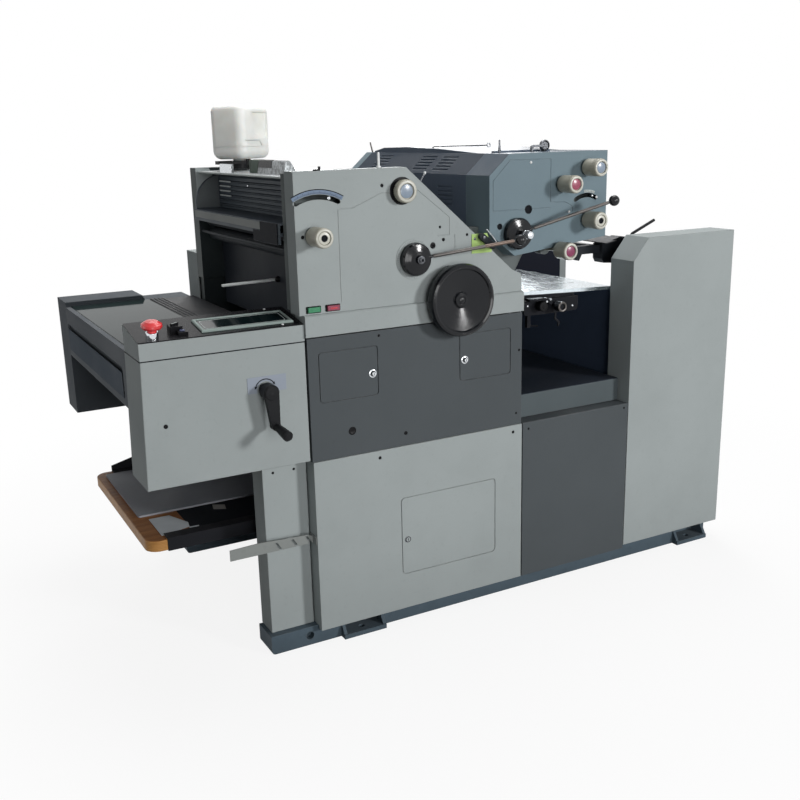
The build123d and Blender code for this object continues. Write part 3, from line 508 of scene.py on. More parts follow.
def quads(rows, columns):
    """Quads between neighbouring rows and columns; the last column joins the first."""
    row_start = np.arange(rows - 1)[:, None] * columns
    here = np.arange(columns)[None, :]
    there = (here + 1) % columns
    corners = [row_start + here, row_start + there, row_start + there + columns, row_start + here + columns]
    return np.stack(corners, -1).reshape(-1, 4)


def at_height(outline, z):
    """Points of a flat outline at one height."""
    return np.column_stack([outline, np.full(len(outline), z)])


def circle(radius, count=40):
    """Outline of a circle."""
    return radius * on_circle(np.linspace(0, 2 * np.pi, count, endpoint=False))


def turned(profile, sides=40):
    """Turned shape about local z: each profile radius times (cos a, sin a), at the profile's height."""
    rings = [at_height(circle(radius, sides), height) for radius, height in profile]
    return np.concatenate(rings), [quads(len(rings), sides)]


def rounded(width, height, radius, steps=8):
    """Outline of a rectangle with round corners: a quarter circle about each corner's centre."""
    angle = np.linspace(0, np.pi / 2, steps)[None, :] + (np.pi / 2) * np.arange(4)[:, None]
    signs = np.array([[1, 1], [-1, 1], [-1, -1], [1, -1]])[:, None, :]
    centre = signs * np.array([width / 2 - radius, height / 2 - radius])
    return (centre + radius * on_circle(angle)).reshape(-1, 2)


def sector(low, high, first, last, steps=24):
    """Outline of a ring's part between two radii and two angles."""
    arc = on_circle(np.radians(np.linspace(first, last, steps)))
    return np.concatenate([high * arc, low * arc[::-1]])


def slab(outline, low, high):
    """Flat shape: the outline at two heights, with its walls and its two faces."""
    count = len(outline)
    points = np.concatenate([at_height(outline, low), at_height(outline, high)])
    return points, [quads(2, count), np.arange(count)[None, ::-1], np.arange(count, 2 * count)[None, :]]


def framed(outer, inner, low, high):
    """Flat frame between two outlines of as many points, with walls on both sides."""
    rings = [(outer, low), (outer, high), (inner, high), (inner, low), (outer, low)]
    return np.concatenate([at_height(*ring) for ring in rings]), [quads(5, len(outer))]


def tube(path, radius, sides=14, up=(0, 0, 1)):
    """Round rod along a path: each ring is square to the path there, and its ends are closed."""
    line = np.asarray(path, float)
    along = np.gradient(line, axis=0)
    along /= np.linalg.norm(along, axis=1)[:, None]
    side = np.cross(along, np.asarray(up, float))
    side /= np.linalg.norm(side, axis=1)[:, None]
    other = np.cross(along, side)
    size = np.broadcast_to(np.asarray(radius, float), (len(line),))[:, None, None]
    angle = np.linspace(0, 2 * np.pi, sides, endpoint=False)[None, :, None]
    rings = line[:, None, :] + size * (np.cos(angle) * side[:, None, :] + np.sin(angle) * other[:, None, :])
    count = len(line) * sides
    ends = [np.arange(sides)[None, :], np.arange(count - sides, count)[None, ::-1]]
    return rings.reshape(-1, 3), [quads(len(line), sides)] + ends


def marks(radius, lengths, width, angles, low, high):
    """Scale marks: a thin block at each angle, from the radius outwards by its length."""
    outward = on_circle(np.radians(angles))
    across = outward[:, ::-1] * (-width / 2, width / 2)
    reach = np.broadcast_to(lengths, len(outward))[:, None]
    inner, outer = outward * radius, outward * (radius + reach)
    ring = np.stack([inner - across, outer - across, outer + across, inner + across], 1)
    levels = [np.insert(ring, 2, z, axis=2) for z in (low, high)]
    block = np.array([[0, 3, 2, 1], [4, 5, 6, 7], [0, 1, 5, 4], [1, 2, 6, 5], [2, 3, 7, 6], [3, 0, 4, 7]])
    faces = block + 8 * np.arange(len(outward))[:, None, None]
    return np.stack(levels, 1).reshape(-1, 3), [faces.reshape(-1, 4)]


def placed(name, data):
    """New object of the data, linked to the scene."""
    made = bpy.data.objects.new(name, data)
    bpy.context.scene.collection.objects.link(made)
    return made


def piece(
    name, shapes, finish, slot=None, at=(0, 0, 0), turn=FRONT, places=((0, 0, 0),), body="press", edge=0
):
    """One object from its shapes, copied to each place on the drawing, with clean outward faces.

    The slot, its own or its finish's, is worked out but not used.
    """
    usual, material = TRIM.get(finish) or (finish, FINISH[finish])
    slot = slot or usual
    points, faces, used = [], [], 0
    for place in places:
        for shape, rows in shapes:
            points.append(shape @ turn.T + np.asarray(at, float) + np.asarray(place, float))
            faces += [face for block in rows for face in (block + used).tolist()]
            used += len(shape)
    mesh = bpy.data.meshes.new(name)
    mesh.from_pydata(to_metres(np.concatenate(points)).tolist(), [], faces)
    work = bmesh.new()
    work.from_mesh(mesh)
    bmesh.ops.remove_doubles(work, verts=work.verts, dist=SAME_POINT)
    bmesh.ops.dissolve_degenerate(work, edges=work.edges, dist=SAME_POINT / 10)
    bmesh.ops.recalc_face_normals(work, faces=work.faces)
    work.to_mesh(mesh)
    work.free()
    mesh.shade_smooth()
    mesh.set_sharp_from_angle(angle=SHARP_ANGLE)
    mesh.materials.append(material)
    made = placed(name, mesh)
    if edge > 0:
        soften = made.modifiers.new("edge", "BEVEL")
        soften.width = edge / 1000
        soften.segments = 2
        soften.angle_limit = BEVEL_ANGLE
    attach(made, body)


# Screws, latches and locks of the covers

def screw(radius, deep=1.2):
    """Button head with a socket: rim, dome and a round recess."""
    low, high = 0.36 * radius, 0.96 * radius
    recess = [(0, -deep), (low, -deep), (0.4 * radius, 0.5)]
    return turned(recess + [(0.75 * radius, 0.45), (high, -0.3), (high, -2.6), (0, -2.6)], 28)


def on_face(points):
    """Places on the operator's face, from X and Z."""
    return [(x, 0, z) for x, z in points]


def cover_screws():
    """Screws in the holes of the operator's covers, a plug, recesses painted near-black as the shade inside
    them, and white caps.
    """
    small = [(216, 907), (686, 607), (695, 806), (734, 548), (1121, 556), (510, 1168), (420, 1195)]
    medium = [(208, 547), (675, 547), (0, 1195), (239, 1318), (431, 1159)]
    plug = turned([(0, -1.5), (6, -1.5), (8, -0.4), (11.4, -0.6), (11.4, -2.8), (0, -2.8)])
    recess = np.array([(0, -2.8), (0.9, -2.8), (0.9, -1.6), (0.62, -1.4), (0.62, -2.4), (0, -2.4)])
    dome = turned([(0, 3), (2.2, 2.6), (3.8, 1.4), (4.2, 0.05), (0, 0.05)], 28)
    bright = turned([(0, 1.6), (1.2, 1.8), (2.6, 1.4), (3.4, 0.05), (0, 0.05)], 24)
    for name, shape, finish, spots in (
        ("cover_screws_small", screw(4), "black_oxide", small),
        ("cover_screws_medium", screw(5), "black_oxide", medium),
        ("cover_screws_large", screw(6), "black_oxide", [(-404, 742), (295, 608)]),
        ("cover_plug_large", plug, "black_plastic", [(123, 643)]),
        ("column_screws", moved(screw(4), (0, 0, -50)), "black_oxide", [(-104, 545), (-41, 545)]),
        ("unit1_cap_screw", screw(8.6, 3), "black_oxide", [(396, 1145)]),
        # Near-black recesses: painted shade inside the holes
        ("unit2_recess_left", turned(recess * (9, 1), 36), "hollow", [(623, 1183)]),
        ("unit2_recess_right", turned(recess * (13, 1), 36), "hollow", [(725, 1227)]),
        ("unit2_white_caps", dome, "white_cap", [(732, 1362), (875, 1212), (979, 1250)]),
        ("unit1_bright_screw", bright, "dark_chrome", [(522, 1128)]),
    ):
        piece(name, [shape], finish, places=on_face(spots))


def drive_side_screws():
    """Button heads along the edges of the covers on the drive side."""
    cover = [(20, 598), (340, 598), (676, 598), (8, 800), (676, 800), (20, 1046), (640, 1046)]
    low = [(34, 540), (380, 540), (740, 540), (1104, 540), (34, 84), (1104, 84)]
    head = [(616, 1200), (616, 1320), (670, 1372), (1000, 1372), (1000, 1150)]
    box = [(-435, 575), (-435, 912), (-220, 912), (-40, 575), (-40, 890)]
    for name, depth, spots in (
        ("drive_cover_screws", 1022.6, cover + low),
        ("unit2_far_screws", 917.6, head),
        ("far_box_screws", 1120.4, box),
    ):
        piece(name, [screw(4.5, -0.6)], "black_oxide", at=(0, depth, 0), turn=BACK, places=on_face(spots))


def latches():
    """Key latches: a plated collar, a barrel, and the key slot as a dark slab of painted shade."""
    collar = turned([(8.3, 0.1), (11.5, 0.1), (12, 1.2), (10.5, 2.2), (8.3, 2.4), (8.3, 0.1)])
    barrel = turned([(0, 9.1), (5.2, 9.1), (5.6, 9.6), (5, 10.2), (0, 10.2)])
    # Key slots are near-black slabs: painted shade
    slot = slab(rounded(1.6, 7, 0.7, 4), 10, 10.4)
    for side, x in (("left", 193), ("right", 499)):
        door = side + "_access_door"
        piece(side + "_latch_collar", [collar, barrel], "chrome", at=(x, 0, 801), body=door)
        piece(side + "_latch_slot", [slot], "hollow", at=(x, 0, 801), body=door)
    ring = turned([(6.4, 3), (8.8, 2.2), (9.2, 2.9), (8, 3.9), (6.6, 3.9), (6.4, 3)])
    slot = slab(rounded(1.8, 8, 0.8, 4), 3, 3.5)
    piece("inspection_lock_ring", [ring], "dark_chrome", at=(294, 0, 274), body="inspection_door")
    piece("inspection_lock_slot", [slot], "hollow", at=(294, 0, 274), body="inspection_door")


# First unit

def unit1_scales():
    """Blue band with marks over the curved slot, and the light ring behind the pressure lever."""
    centre = (46, 0, 1163)
    band = slab(sector(141.5, 152, 60, 119), 0.05, 0.6)
    line = slab(sector(152.2, 154.5, 60, 119), 0.05, 0.9)
    lengths = np.where(np.arange(45) % 5 == 0, 7, 4)
    ticks = marks(142.5, lengths, 0.7, np.linspace(62, 117, 45), 0.6, 0.75)
    piece("unit1_scale_band", [band], "scale_blue", at=centre)
    piece("unit1_scale_marks", [ticks, line], "scale_mark", at=centre)
    pin = [(0, 7), (1.8, 6.7), (2.8, 5), (2.8, 3), (4.2, 2.6), (4.2, 0.5), (2.8, 0.3), (2.8, -6), (0, -6)]
    piece("unit1_slot_pin", [turned(pin, 32)], "chrome", at=(80, 0, 1292.5))
    centre = (334, 0, 1112)
    piece("lever1_scale_ring", [framed(circle(57, 72), circle(46.6, 72), 0.1, 1.3)], "pale_paint", at=centre)
    lengths = np.where(np.arange(60) % 5 == 0, 6, 3.5)
    piece("lever1_scale_marks", [marks(49, lengths, 0.6, all_round(60), 1.3, 1.45)], "scale_mark", at=centre)


def lever_fittings():
    """Sleeves on both rods, a square bolt on the first lever, nut and spring on the second."""
    bolt = moved(slab(rounded(13, 13, 1.2, 4), 35, 43), turn=spin(24))
    washer = turned([(0, 34.9), (11.5, 34.9), (11.5, 36.4), (0, 36.4)])
    socket = turned([(0, 42.9), (4.2, 42.9), (4.2, 43.3), (0, 43.3)])
    first, second = "pressure_lever_1", "pressure_lever_2"
    piece("lever1_bolt", [bolt, washer], "dark_chrome", at=(338, 0, 1112), body=first, edge=0.8)
    piece("lever1_bolt_socket", [socket], "hollow", at=(338, 0, 1112), body=first)
    # Each sleeve: its lever, hub, lean in degrees, both ends as shares of the rod, and its radius
    for name, body, x, z, lean, start_at, end_at, radius, finish in (
        ("lever1_sleeve", first, 334, 1112, 8.2, 0.07, 0.62, 5, "rod_steel"),
        ("lever1_copper_sleeve", first, 334, 1112, 8.2, 0.62, 0.93, 5.3, "rod_copper"),
        ("lever2_sleeve", second, 681, 1160, 17, 0.07, 0.93, 5, "rod_steel"),
    ):
        c, s = cos_sin(lean)
        root = np.array([x + 30 * c, -20, z + 30 * s])
        reach = np.array([x + 292 * c, -105, z + 292 * s]) - root
        shares = np.array([start_at, start_at + 0.01, end_at - 0.01, end_at])[:, None]
        piece(name, [tube(root + reach * shares, [4.3, radius, radius, 4.3])], finish, turn=TOP, body=body)
    nut = slab(circle(14.5, 6), 46, 55)
    wind = np.linspace(0, 2 * np.pi * 6, 150)
    coil = np.column_stack([10.2 * on_circle(wind), np.linspace(56, 71, 150)])
    cap = turned([(0, 78), (7, 77.4), (10.5, 75), (11, 72.5), (8, 71.8), (0, 71.8)])
    piece("lever2_nut", [nut, cap], "chrome", at=(681, 0, 1160), body=second, edge=0.5)
    piece("lever2_spring", [tube(coil, 1.1, 8)], "dark_chrome", at=(681, 0, 1160), body=second)


def unit1_tag():
    """Green tag at the cover's sloping edge, and a rubber roller on its bright pin."""
    outline = [(-35, -28), (-35, 28), (18, 28), (34, -13), (34, -28)]
    piece("unit1_tag", [slab(outline, 0.1, 2)], "tag_green", at=(560, 0, 1140), edge=0.5)
    head = turned([(0, 4.4), (2.4, 4.2), (3.8, 3), (4, 2), (0, 2)], 28)
    piece("unit1_tag_screw", [head], "dark_chrome", at=(535, 0, 1154))
    arm = moved(slab(rounded(66, 19, 8, 8), 5, 17), turn=spin(-38))
    hub = turned([(0, 23), (3.5, 22.5), (5.4, 20.5), (5.4, 16), (0, 16)])
    piece("unit1_tag_arm", [arm], "rubber", at=(572, 0, 1146), edge=1.5)
    piece("unit1_tag_hub", [hub], "dark_chrome", at=(556, 0, 1158))
    rod = tube([(566, -18, 1180), (580, -18, 1166), (600, -18, 1142)], 1.6, 10, up=(0, 1, 0))
    piece("unit1_tag_rod", [rod], "chrome", turn=TOP)


def unit1_top_fittings():
    """White pin on the cover's top, a small stop on its slope and a catch."""
    pin = turned([(0, 41), (2.4, 41), (3.4, 39), (3.4, 6), (5.4, 4.5), (5.4, 0.1), (0, 0.1)], 28)
    piece("cover_pin", [pin], "white_cap", at=(243, 24, 1364), turn=TOP)
    path = [(366, 20, 1314), (369, 20, 1320), (381, 20, 1338), (384, 20, 1343)]
    stop = tube(path, [2.4, 2.4, 2.2, 2], up=(0, 1, 0))
    tip = moved(turned([(0, -4), (3, -3), (4.2, 0), (3, 3), (0, 4)], 20), (385, 20, 1345))
    piece("slope_stop", [stop], "dark_chrome", turn=TOP)
    piece("slope_stop_tip", [tip], "white_cap", turn=TOP)
    catch = slab(rounded(22, 9, 4, 6), 0, 4)
    lip = moved(slab(rounded(5, 9, 2, 6), 3.5, 11), (7.5, 0, 0))
    piece("top_catch", [catch, lip], "black_plastic", at=(52, 8, 1364.2), turn=TOP, edge=0.6)


def buttons():
    """Black bezels round the push buttons, and a raised bar on each."""
    bezel = framed(rounded(43, 19, 2.5), rounded(36.8, 14.8, 1.2), 0.1, 3.2)
    bar = slab(rounded(20, 2.4, 1.1, 5), 9, 9.6)
    for name, x in (("green", 21), ("red", 78)):
        piece(name + "_bezel", [bezel], "black_plastic", at=(x, 0, 1001), edge=0.7)
        plastic = name + "_plastic"
        piece(name + "_button_bar", [bar], plastic, plastic, at=(x, 0, 1001), body=name + "_button")


def knob_faces():
    """Light rims on the knobs' fronts, with discs or bores sunk inside them."""
    # Each knob: its middle, how far its front stands out, its radius and the finish inside its rim
    for name, x, z, out, radius, finish in (
        ("unit1_knob_upper", 300, 1301, 30.5, 31, "face_blue"),
        ("unit1_knob_lower", 30, 1196, 74.5, 26, "hollow"),
        ("unit2_knob_a", 938, 1341, 71.5, 25.5, "face_blue"),
        ("unit2_knob_b", 846, 1296, 71.5, 25.5, "face_rose"),
        ("unit2_knob_c", 942, 1185, 71.5, 25.5, "hollow"),
        ("unit2_knob_d", 831, 1101, 71, 25.5, "face_plum"),
    ):
        spot = {"at": (x, 0, z), "body": name}
        bore, inner, low, high = np.array([0.36, 0.62, 0.7, 0.93]) * radius
        sunk = out - 3.9
        profile = [(low, out - 3), (high, out - 3), (high, out + 0.3), (high - 1.2, out + 1)]
        rim = turned(profile + [(low + 1.2, out + 1), (low, out), (low, out - 3)], 48)
        piece(name + "_rim", [rim], "knob_rim", **spot)
        if finish == "hollow":
            ring = turned([(bore, sunk), (inner, sunk), (inner, out - 1.6), (bore, out - 0.6), (bore, sunk)])
            piece(name + "_inner", [ring], "knob_rim", **spot)
            # The bore's floor is near-black: painted shade in the bore
            face = [(0, sunk), (bore, sunk), (bore, out - 3.4), (0, out - 3.4)]
        else:
            face = [(0, out - 1.2), (inner * 0.8, out - 1.4), (inner, out - 2.6), (inner, sunk), (0, sunk)]
        piece(name + "_face", [turned(face)], finish, **spot)
        ribs = marks(radius - 0.25, 0.9, 1.5, all_round(36), out - 22, out - 6)
        piece(name + "_grip_ribs", [ribs], "cream_plastic", edge=0.25, **spot)
    collar = framed(circle(37.5, 60), circle(20.5, 60), 0.1, 2.4)
    piece("unit1_knob_collar", [collar], "black_plastic", at=(300, 0, 1301), edge=0.5)


# Second unit

def unit2_fittings():
    """Short scale by the curved slot, rods, pins and a roller on top, bolts on the lower body."""
    centre = (940, 0, 1180)
    band = slab(sector(86, 94, 70, 96), 0.05, 0.6)
    ticks = marks(87, np.where(np.arange(13) % 4 == 0, 6, 4), 0.7, np.linspace(72, 94, 13), 0.6, 0.75)
    piece("unit2_scale_band", [band], "scale_light", at=centre)
    piece("unit2_scale_marks", [ticks], "scale_mark", at=centre)
    pin = turned([(0, 8), (2.2, 7.8), (3.6, 6), (3.6, 0.5), (3.2, -6), (0, -6)], 28)
    piece("unit2_slot_pin", [pin], "chrome", at=(958, 0, 1256))
    rod = tube([(664, 126, 1413), (668, 200, 1412), (690, 480, 1409), (692, 500, 1404)], 2.2, 12)
    eye = turned([(4.2, -1.6), (6.6, -1.6), (7.2, 0), (6.6, 1.6), (4.2, 1.6), (4.2, -1.6)], 32)
    piece("lid_stay_rod", [rod], "dark_chrome", turn=TOP)
    piece("lid_stay_eye", [eye], "dark_chrome", at=(664, 120, 1413), turn=TOP @ tilt(80))
    post = turned([(0, 0), (4, 0), (4, 20), (2.6, 21), (2.6, 38), (0, 39)], 28)
    piece("lid_post", [post], "dark_chrome", at=(700, 116, 1389.2), turn=TOP)
    tyre = [(11, 9), (13, 12), (16, 11), (17, 8), (17, 2), (15, 0)]
    wheel = turned([(0, 12), (5, 12), (5, 9)] + tyre + [(0, 0)], 44)
    arm = slab(rounded(62, 7, 3.2, 6), 12.5, 15.5)
    piece("lid_roller", [wheel], "dark_chrome", slot="rubber", at=(862, 116, 1407))
    piece("lid_roller_arm", [arm], "dark_chrome", at=(838, 116, 1406), edge=0.5)
    foot = turned([(0, 0.1), (5, 0.1), (5, 17), (0, 17)], 28)
    piece("lid_roller_feet", [foot], "dark_chrome", places=[(813, 108, 1389), (862, 120, 1389)], turn=TOP)
    path = [(669, 893, 1387), (668, 893, 1392), (661, 893, 1420), (660, 893, 1425)]
    piece("far_corner_rod", [tube(path, [3, 3, 2.6, 2.2], up=(0, 1, 0))], "rod_steel", turn=TOP)
    head = turned([(0, 4.2), (2.4, 4), (4.2, 3), (4.6, 0.1), (0, 0.1)], 24)
    bolts = [(704 + 14 * k, 114, 1062) for k in range(4)]
    piece("lower_body_bolts", [head], "chrome", places=bolts)


# Feeder

def feeder_fittings():
    """Bright rings, a knurled black cap and screws on the feed board's drive."""
    cap = turned([(0, 2.4), (5, 2.4), (6, 1.2), (13.5, 1), (15.6, -1), (15.6, -24), (0, -24)])
    grip = marks(15.4, 0.9, 1.1, all_round(40), -22, -3)
    piece("drive_cap", [cap, grip], "black_plastic", at=(842, 74, 914))
    ring = turned([(9.2, -3), (16.4, -3), (16.6, 0.4), (14, 2.2), (10.6, 1.6), (9.2, -1), (9.2, -3)], 48)
    piece("drive_ring", [ring], "rod_steel", at=(905, 60, 909))
    grip = marks(15.8, 0.8, 1.1, all_round(40), -24, -4)
    piece("drive_ring_grip", [grip], "dark_chrome", at=(905, 60, 909))
    head = turned([(0, 3), (2.2, 2.8), (3.6, 1.6), (3.8, 0), (0, 0)], 24)
    piece("drive_screws", [head], "chrome", places=[(856, 78, 928), (800, 104, 916), (978, 104, 900)])
    head = turned([(0, 7), (4.2, 6.8), (6.2, 5), (6.4, 0), (0, 0)], 24)
    piece("drive_bright_heads", [head], "chrome", places=[(868, 104, 931), (884, 100, 927)])
    lip = tube([(790, 113, 932), (820, 113, 931), (860, 113, 930)], 3, 12)
    piece("drive_bright_rail", [lip], "chrome", turn=TOP)
    seams = [slab([(0, y), (330, y), (330, y + 2), (0, y + 2)], 0.05, 0.35) for y in (0, 520)]
    lie = np.array([[0.99917, 0, 0.0406], [0, 1, 0], [-0.0406, 0, 0.99917]])
    piece("feed_board_seams", seams, "dark_chrome", at=(760, 240, 961.8), turn=lie)


# Delivery

def console_fittings():
    """Display glass and border, panel screws, key and selector line, and the stop's bright sleeve."""
    lay = tilt(9.4)
    base = np.array([0, 0, 963])

    def spot(x, y, z):
        return base + lay @ np.array([x, y, z], float)

    glass = slab(rounded(237, 77, 2, 6), 0, 1.6)
    piece("display_glass", [glass], "glass", at=spot(-157, 69, 5.1), turn=lay, edge=0.4)
    border = framed(rounded(224, 64, 9), rounded(220.6, 60.6, 7.6), 0, 0.2)
    piece("display_border", [border], "scale_light", slot="display_rim", at=spot(-157, 69, 6.75), turn=lay)
    head = turned([(0, 1.6), (1.2, 1.6), (1.4, 2.4), (3.2, 2), (3.8, 0.1), (0, 0.1)], 28)
    corners = [lay @ np.array([-65, y, 3]) for y in (13, 148)]
    piece("panel_screws", [head], "white_cap", slot="steel", at=base, turn=lay, places=corners)
    tall = [(15.1, 3), (16, 3), (16, 18.5), (14.8, 20), (12.6, 20), (12.6, 15.8), (15.1, 15.6), (15.1, 3)]
    piece("stop_sleeve", [turned(tall, 48)], "chrome", at=spot(-412, 26, 0), turn=lay)
    line = moved(slab(rounded(19, 1.6, 0.7, 4), 0, 0.3), turn=spin(25))
    piece("selector_line", [line], "scale_light", at=spot(-346, 56, 26), turn=lay)
    key = slab(rounded(13, 9, 2, 5), 0, 2.4)
    piece("switch_key", [key], "key_blue", at=spot(-333, 31, 12), turn=lay, edge=0.6)


def cap_seam():
    """Strips of painted shade in the gap under the control cap, and the blue-black sheet sunk into the end
    panel.
    """
    # Near-black strips paint the shade of the gap under the cap
    front = slab([(-455.6, 915.4), (-9, 915.4), (-9, 918.2), (-455.6, 918.2)], -0.6, 0.5)
    piece("cap_gap_shade_front", [front], "hollow", slot="rubber")
    recess = slab(rounded(754, 72, 2, 4), 0.1, 0.8)
    piece("end_panel_sheet", [recess], "panel_blue", at=(-456, 585, 814.5), turn=LEFT)
    left = slab([(-157, 915.4), (0.4, 915.4), (0.4, 918.2), (-157, 918.2)], -0.4, 0.6)
    piece("cap_gap_shade_left", [left], "hollow", slot="rubber", at=(-455.1, 0, 0), turn=LEFT)


def crank_fittings():
    """Bluish plate notched round the crank's boss, with an arc and a tip at each of its ends."""
    boss = (-129, 0, 801)
    left, right, low, high = -50, 60, -7, 37
    reach = 23.5
    under = math.asin(low / reach)
    notch = reach * on_circle(np.linspace(math.pi - under, under, 30))
    outline = [(left, low)] + notch.tolist() + [(right, low), (right, high), (left, high)]
    piece("crank_plate", [slab(outline, 0.1, 1.2)], "plate_blue", at=boss)
    drawn = [slab(sector(27.5, 30.5, 36, 158, 30), 1.2, 1.4)]
    for angle, side in ((36, -1), (158, 1)):
        c, s = cos_sin(angle)
        across, along = np.array([c, s]), side * np.array([-s, c])
        middle = 29 * across
        tip = [middle - 4.2 * across, middle + 4.2 * across, middle + 8 * along]
        drawn.append(slab(tip[::side], 1.2, 1.4))
    piece("crank_plate_marks", drawn, "scale_mark", at=boss)


def handwheel_fittings():
    """Domed cap over the wheel's hub, with a ring about it."""
    cap = turned([(0, 47.5), (6, 47), (11, 44.6), (13.5, 41), (14.5, 38.2), (0, 38.2)], 48)
    ring = turned([(16, 39.2), (19, 40.6), (22, 39.4), (22, 38.4), (16, 38.4), (16, 39.2)], 60)
    piece("wheel_hub_cap", [cap, ring], "gloss_black", at=(465, 0, 988), body="handwheel")


def pile_sheets():
    """Dark sheet on the pile board, with a plain leaflet and scraps left bare."""
    # Each sheet: its finish, the height of its underside, its thickness and its corners
    for name, finish, z, thick, corners in (
        # A near-black sheet over the right part of the board
        ("board_dark_sheet", "hollow", 362.1, 0.6, [(-300, 187), (150, 187), (150, 378), (-300, 378)]),
        ("leaflet", "paper", 362.8, 0.8, [(-391, 207), (-302, 234), (-296, 268), (-330, 352), (-391, 352)]),
        ("scrap_light", "paper", 363.8, 0.6, [(-306, 217), (-278, 216), (-276, 228), (-304, 230)]),
        ("scrap_grey", "paper_grey", 362.8, 0.6, [(-198, 330), (-164, 312), (-156, 350), (-190, 368)]),
    ):
        piece(name, [slab(corners, 0, thick)], finish, at=(0, 0, z), turn=TOP, body="pile_lift")


def guard_fittings():
    """Rib ends of the guard painted white as highlights, its screw, strips on its bar and box, and patches
    of painted light on both cheeks.
    """
    # Rib ends painted near-white: painted highlight
    ends = [(57, 764, 1314.5 - 15 * k) for k in range(4)]
    piece("guard_rib_ends", [slab(rounded(104, 4.2, 1.8, 5), 0.2, 3.2)], "painted_highlight", turn=LEFT, places=ends)
    piece("guard_screw", [screw(4)], "chrome", turn=LEFT, places=[(59, 560, 1307)])
    strip = slab(rounded(608, 21, 2, 5), 0.1, 1.2)
    piece("front_bar_strip", [strip], "white_paint", slot="zinc", at=(-28, 537, 1212), turn=LEFT)
    cover = [(-104, 1169), (-289, 1169), (-289, 1199), (-232, 1199), (-232, 1225), (-104, 1225)]
    piece("guard_box_face", [slab(cover, 0.2, 2.8)], "hollow", slot="black_steel", at=(-28, 0, 0), turn=LEFT)
    # Lighter patches on both cheeks paint the light that falls there
    cheek = slab([(-16, 1232), (60, 1232), (60, 1290), (30, 1358), (-16, 1358)], 0.2, 1)
    piece("far_cheek_painted_light", [cheek], "pale_paint", at=(0, 846.8, 0))
    curve = np.array([70, 1242]) + 92 * on_circle(np.radians(np.linspace(96, 180, 24)))
    inner = slab(curve.tolist() + [(-22, 1230), (56, 1230), (56, 1326)], 0.1, 0.8)
    piece("guard_cheek_painted_light", [inner], "cheek_grey", at=(0, 835, 0))


def deck_fittings():
    """The rod in the mouth, painted white as its highlight, the deck's edge strip, and what stands on the
    deck.
    """
    path = [(61, 339, 1041), (58, 340, 1041), (-100, 384, 1031), (-104, 385, 1031)]
    rod = tube(path, [4.5, 4.5, 4.5, 3.5], 16)
    path = [(61, 339, 1041), (59, 340, 1041), (52, 342, 1041), (50, 343, 1041)]
    collar = tube(path, [9, 9, 9, 7], 24)
    # The steel rod is painted white: a painted highlight in place of its reflection
    piece("mouth_rod", [rod], "painted_highlight", slot="steel", turn=TOP)
    piece("mouth_rod_collar", [collar], "black_oxide", turn=TOP)
    edge_rod = tube([(-4, 97, 1345), (-4, 110, 1345), (-4, 830, 1345), (-4, 844, 1345)], 3.4, 16)
    piece("deck_edge_strip", [edge_rod], "scale_light", slot="zinc", turn=TOP)
    facing = slab(rounded(108, 29, 1, 4), 0.05, 1)
    piece("deck_plate_facing", [facing], "face_silver", at=(-4, 571, 1360.3), turn=LEFT)
    whole = [(47.4, 1346), (55.5, 1384.6), (61.9, 1387.7), (68.4, 1386.6), (84.7, 1362), (84.7, 1346)]
    ridge = [(51.3, 1365), (55.5, 1384.6), (61.9, 1387.7), (68.4, 1386.6), (83.1, 1365)]
    gear, cap = slab(whole, -499, -440), slab(ridge, -438, -330)
    piece("deck_ridge_gear", [gear], "gear_green", edge=0.3)
    piece("deck_ridge_cap", [cap], "black_plastic", edge=0.3)
    block = slab(rounded(39.2, 38, 1.5, 5), 0, 36.6)
    piece("deck_gear_block", [block], "gear_green", at=(81, 521.5, 1349.3), turn=TOP, edge=1.2)


def bottle_relief():
    """Raised angle on the bottle's front face and the seam of its mould."""
    base = np.array([123, 798, 1384])
    angle = slab([(-60, 58), (14, 56), (24, 41), (28, 45), (17, 61), (-60, 63)], 75.4, 77.6)
    piece("bottle_angle", [angle], "white_plastic", at=base, turn=spin(33) @ FRONT, edge=1)
    seam = framed(rounded(162.8, 136.8, 30.4), rounded(161.4, 135.4, 29.7), 39, 40.2)
    piece("bottle_seam", [moved(seam, (3, -8, 0))], "white_plastic", at=base, turn=spin(33))


for make in (
    cover_screws, drive_side_screws, latches, unit1_scales, lever_fittings, unit1_tag, unit1_top_fittings,
    buttons, knob_faces, unit2_fittings, feeder_fittings, console_fittings, cap_seam, crank_fittings,
    handwheel_fittings, pile_sheets, guard_fittings, deck_fittings, bottle_relief,
):
    make()


# Camera, floor and light

CAMERA_TURN, CAMERA_DIP, CAMERA_ROLL = np.radians([28.19, -15.20, -1.42])
CAMERA_PLACE = (-1013.25, -2409.75, 1453.2)
LENS, SENSOR = 44.16, 36


def camera():
    """View from the operator's left, by its turn, dip and roll, from its place on the drawing."""
    turn, dip, roll = CAMERA_TURN, CAMERA_DIP, CAMERA_ROLL
    ahead = np.array([math.sin(turn) * math.cos(dip), math.cos(turn) * math.cos(dip), math.sin(dip)])
    right = np.array([math.cos(turn), -math.sin(turn), 0])
    up = np.cross(right, ahead)
    pose = np.eye(4)
    pose[:3, 0] = math.cos(roll) * right + math.sin(roll) * up
    pose[:3, 1] = math.cos(roll) * up - math.sin(roll) * right
    pose[:3, 2] = -ahead
    pose[:3, 3] = to_metres(CAMERA_PLACE)
    data = bpy.data.cameras.new("camera")
    data.lens = LENS
    data.sensor_width = SENSOR
    seat = placed("camera", data)
    seat.matrix_world = Matrix(pose.tolist())
    bpy.context.scene.camera = seat


# Middle of the press, at which every lamp looks
LAMP_AIM = np.array([0, 0, 0.8])


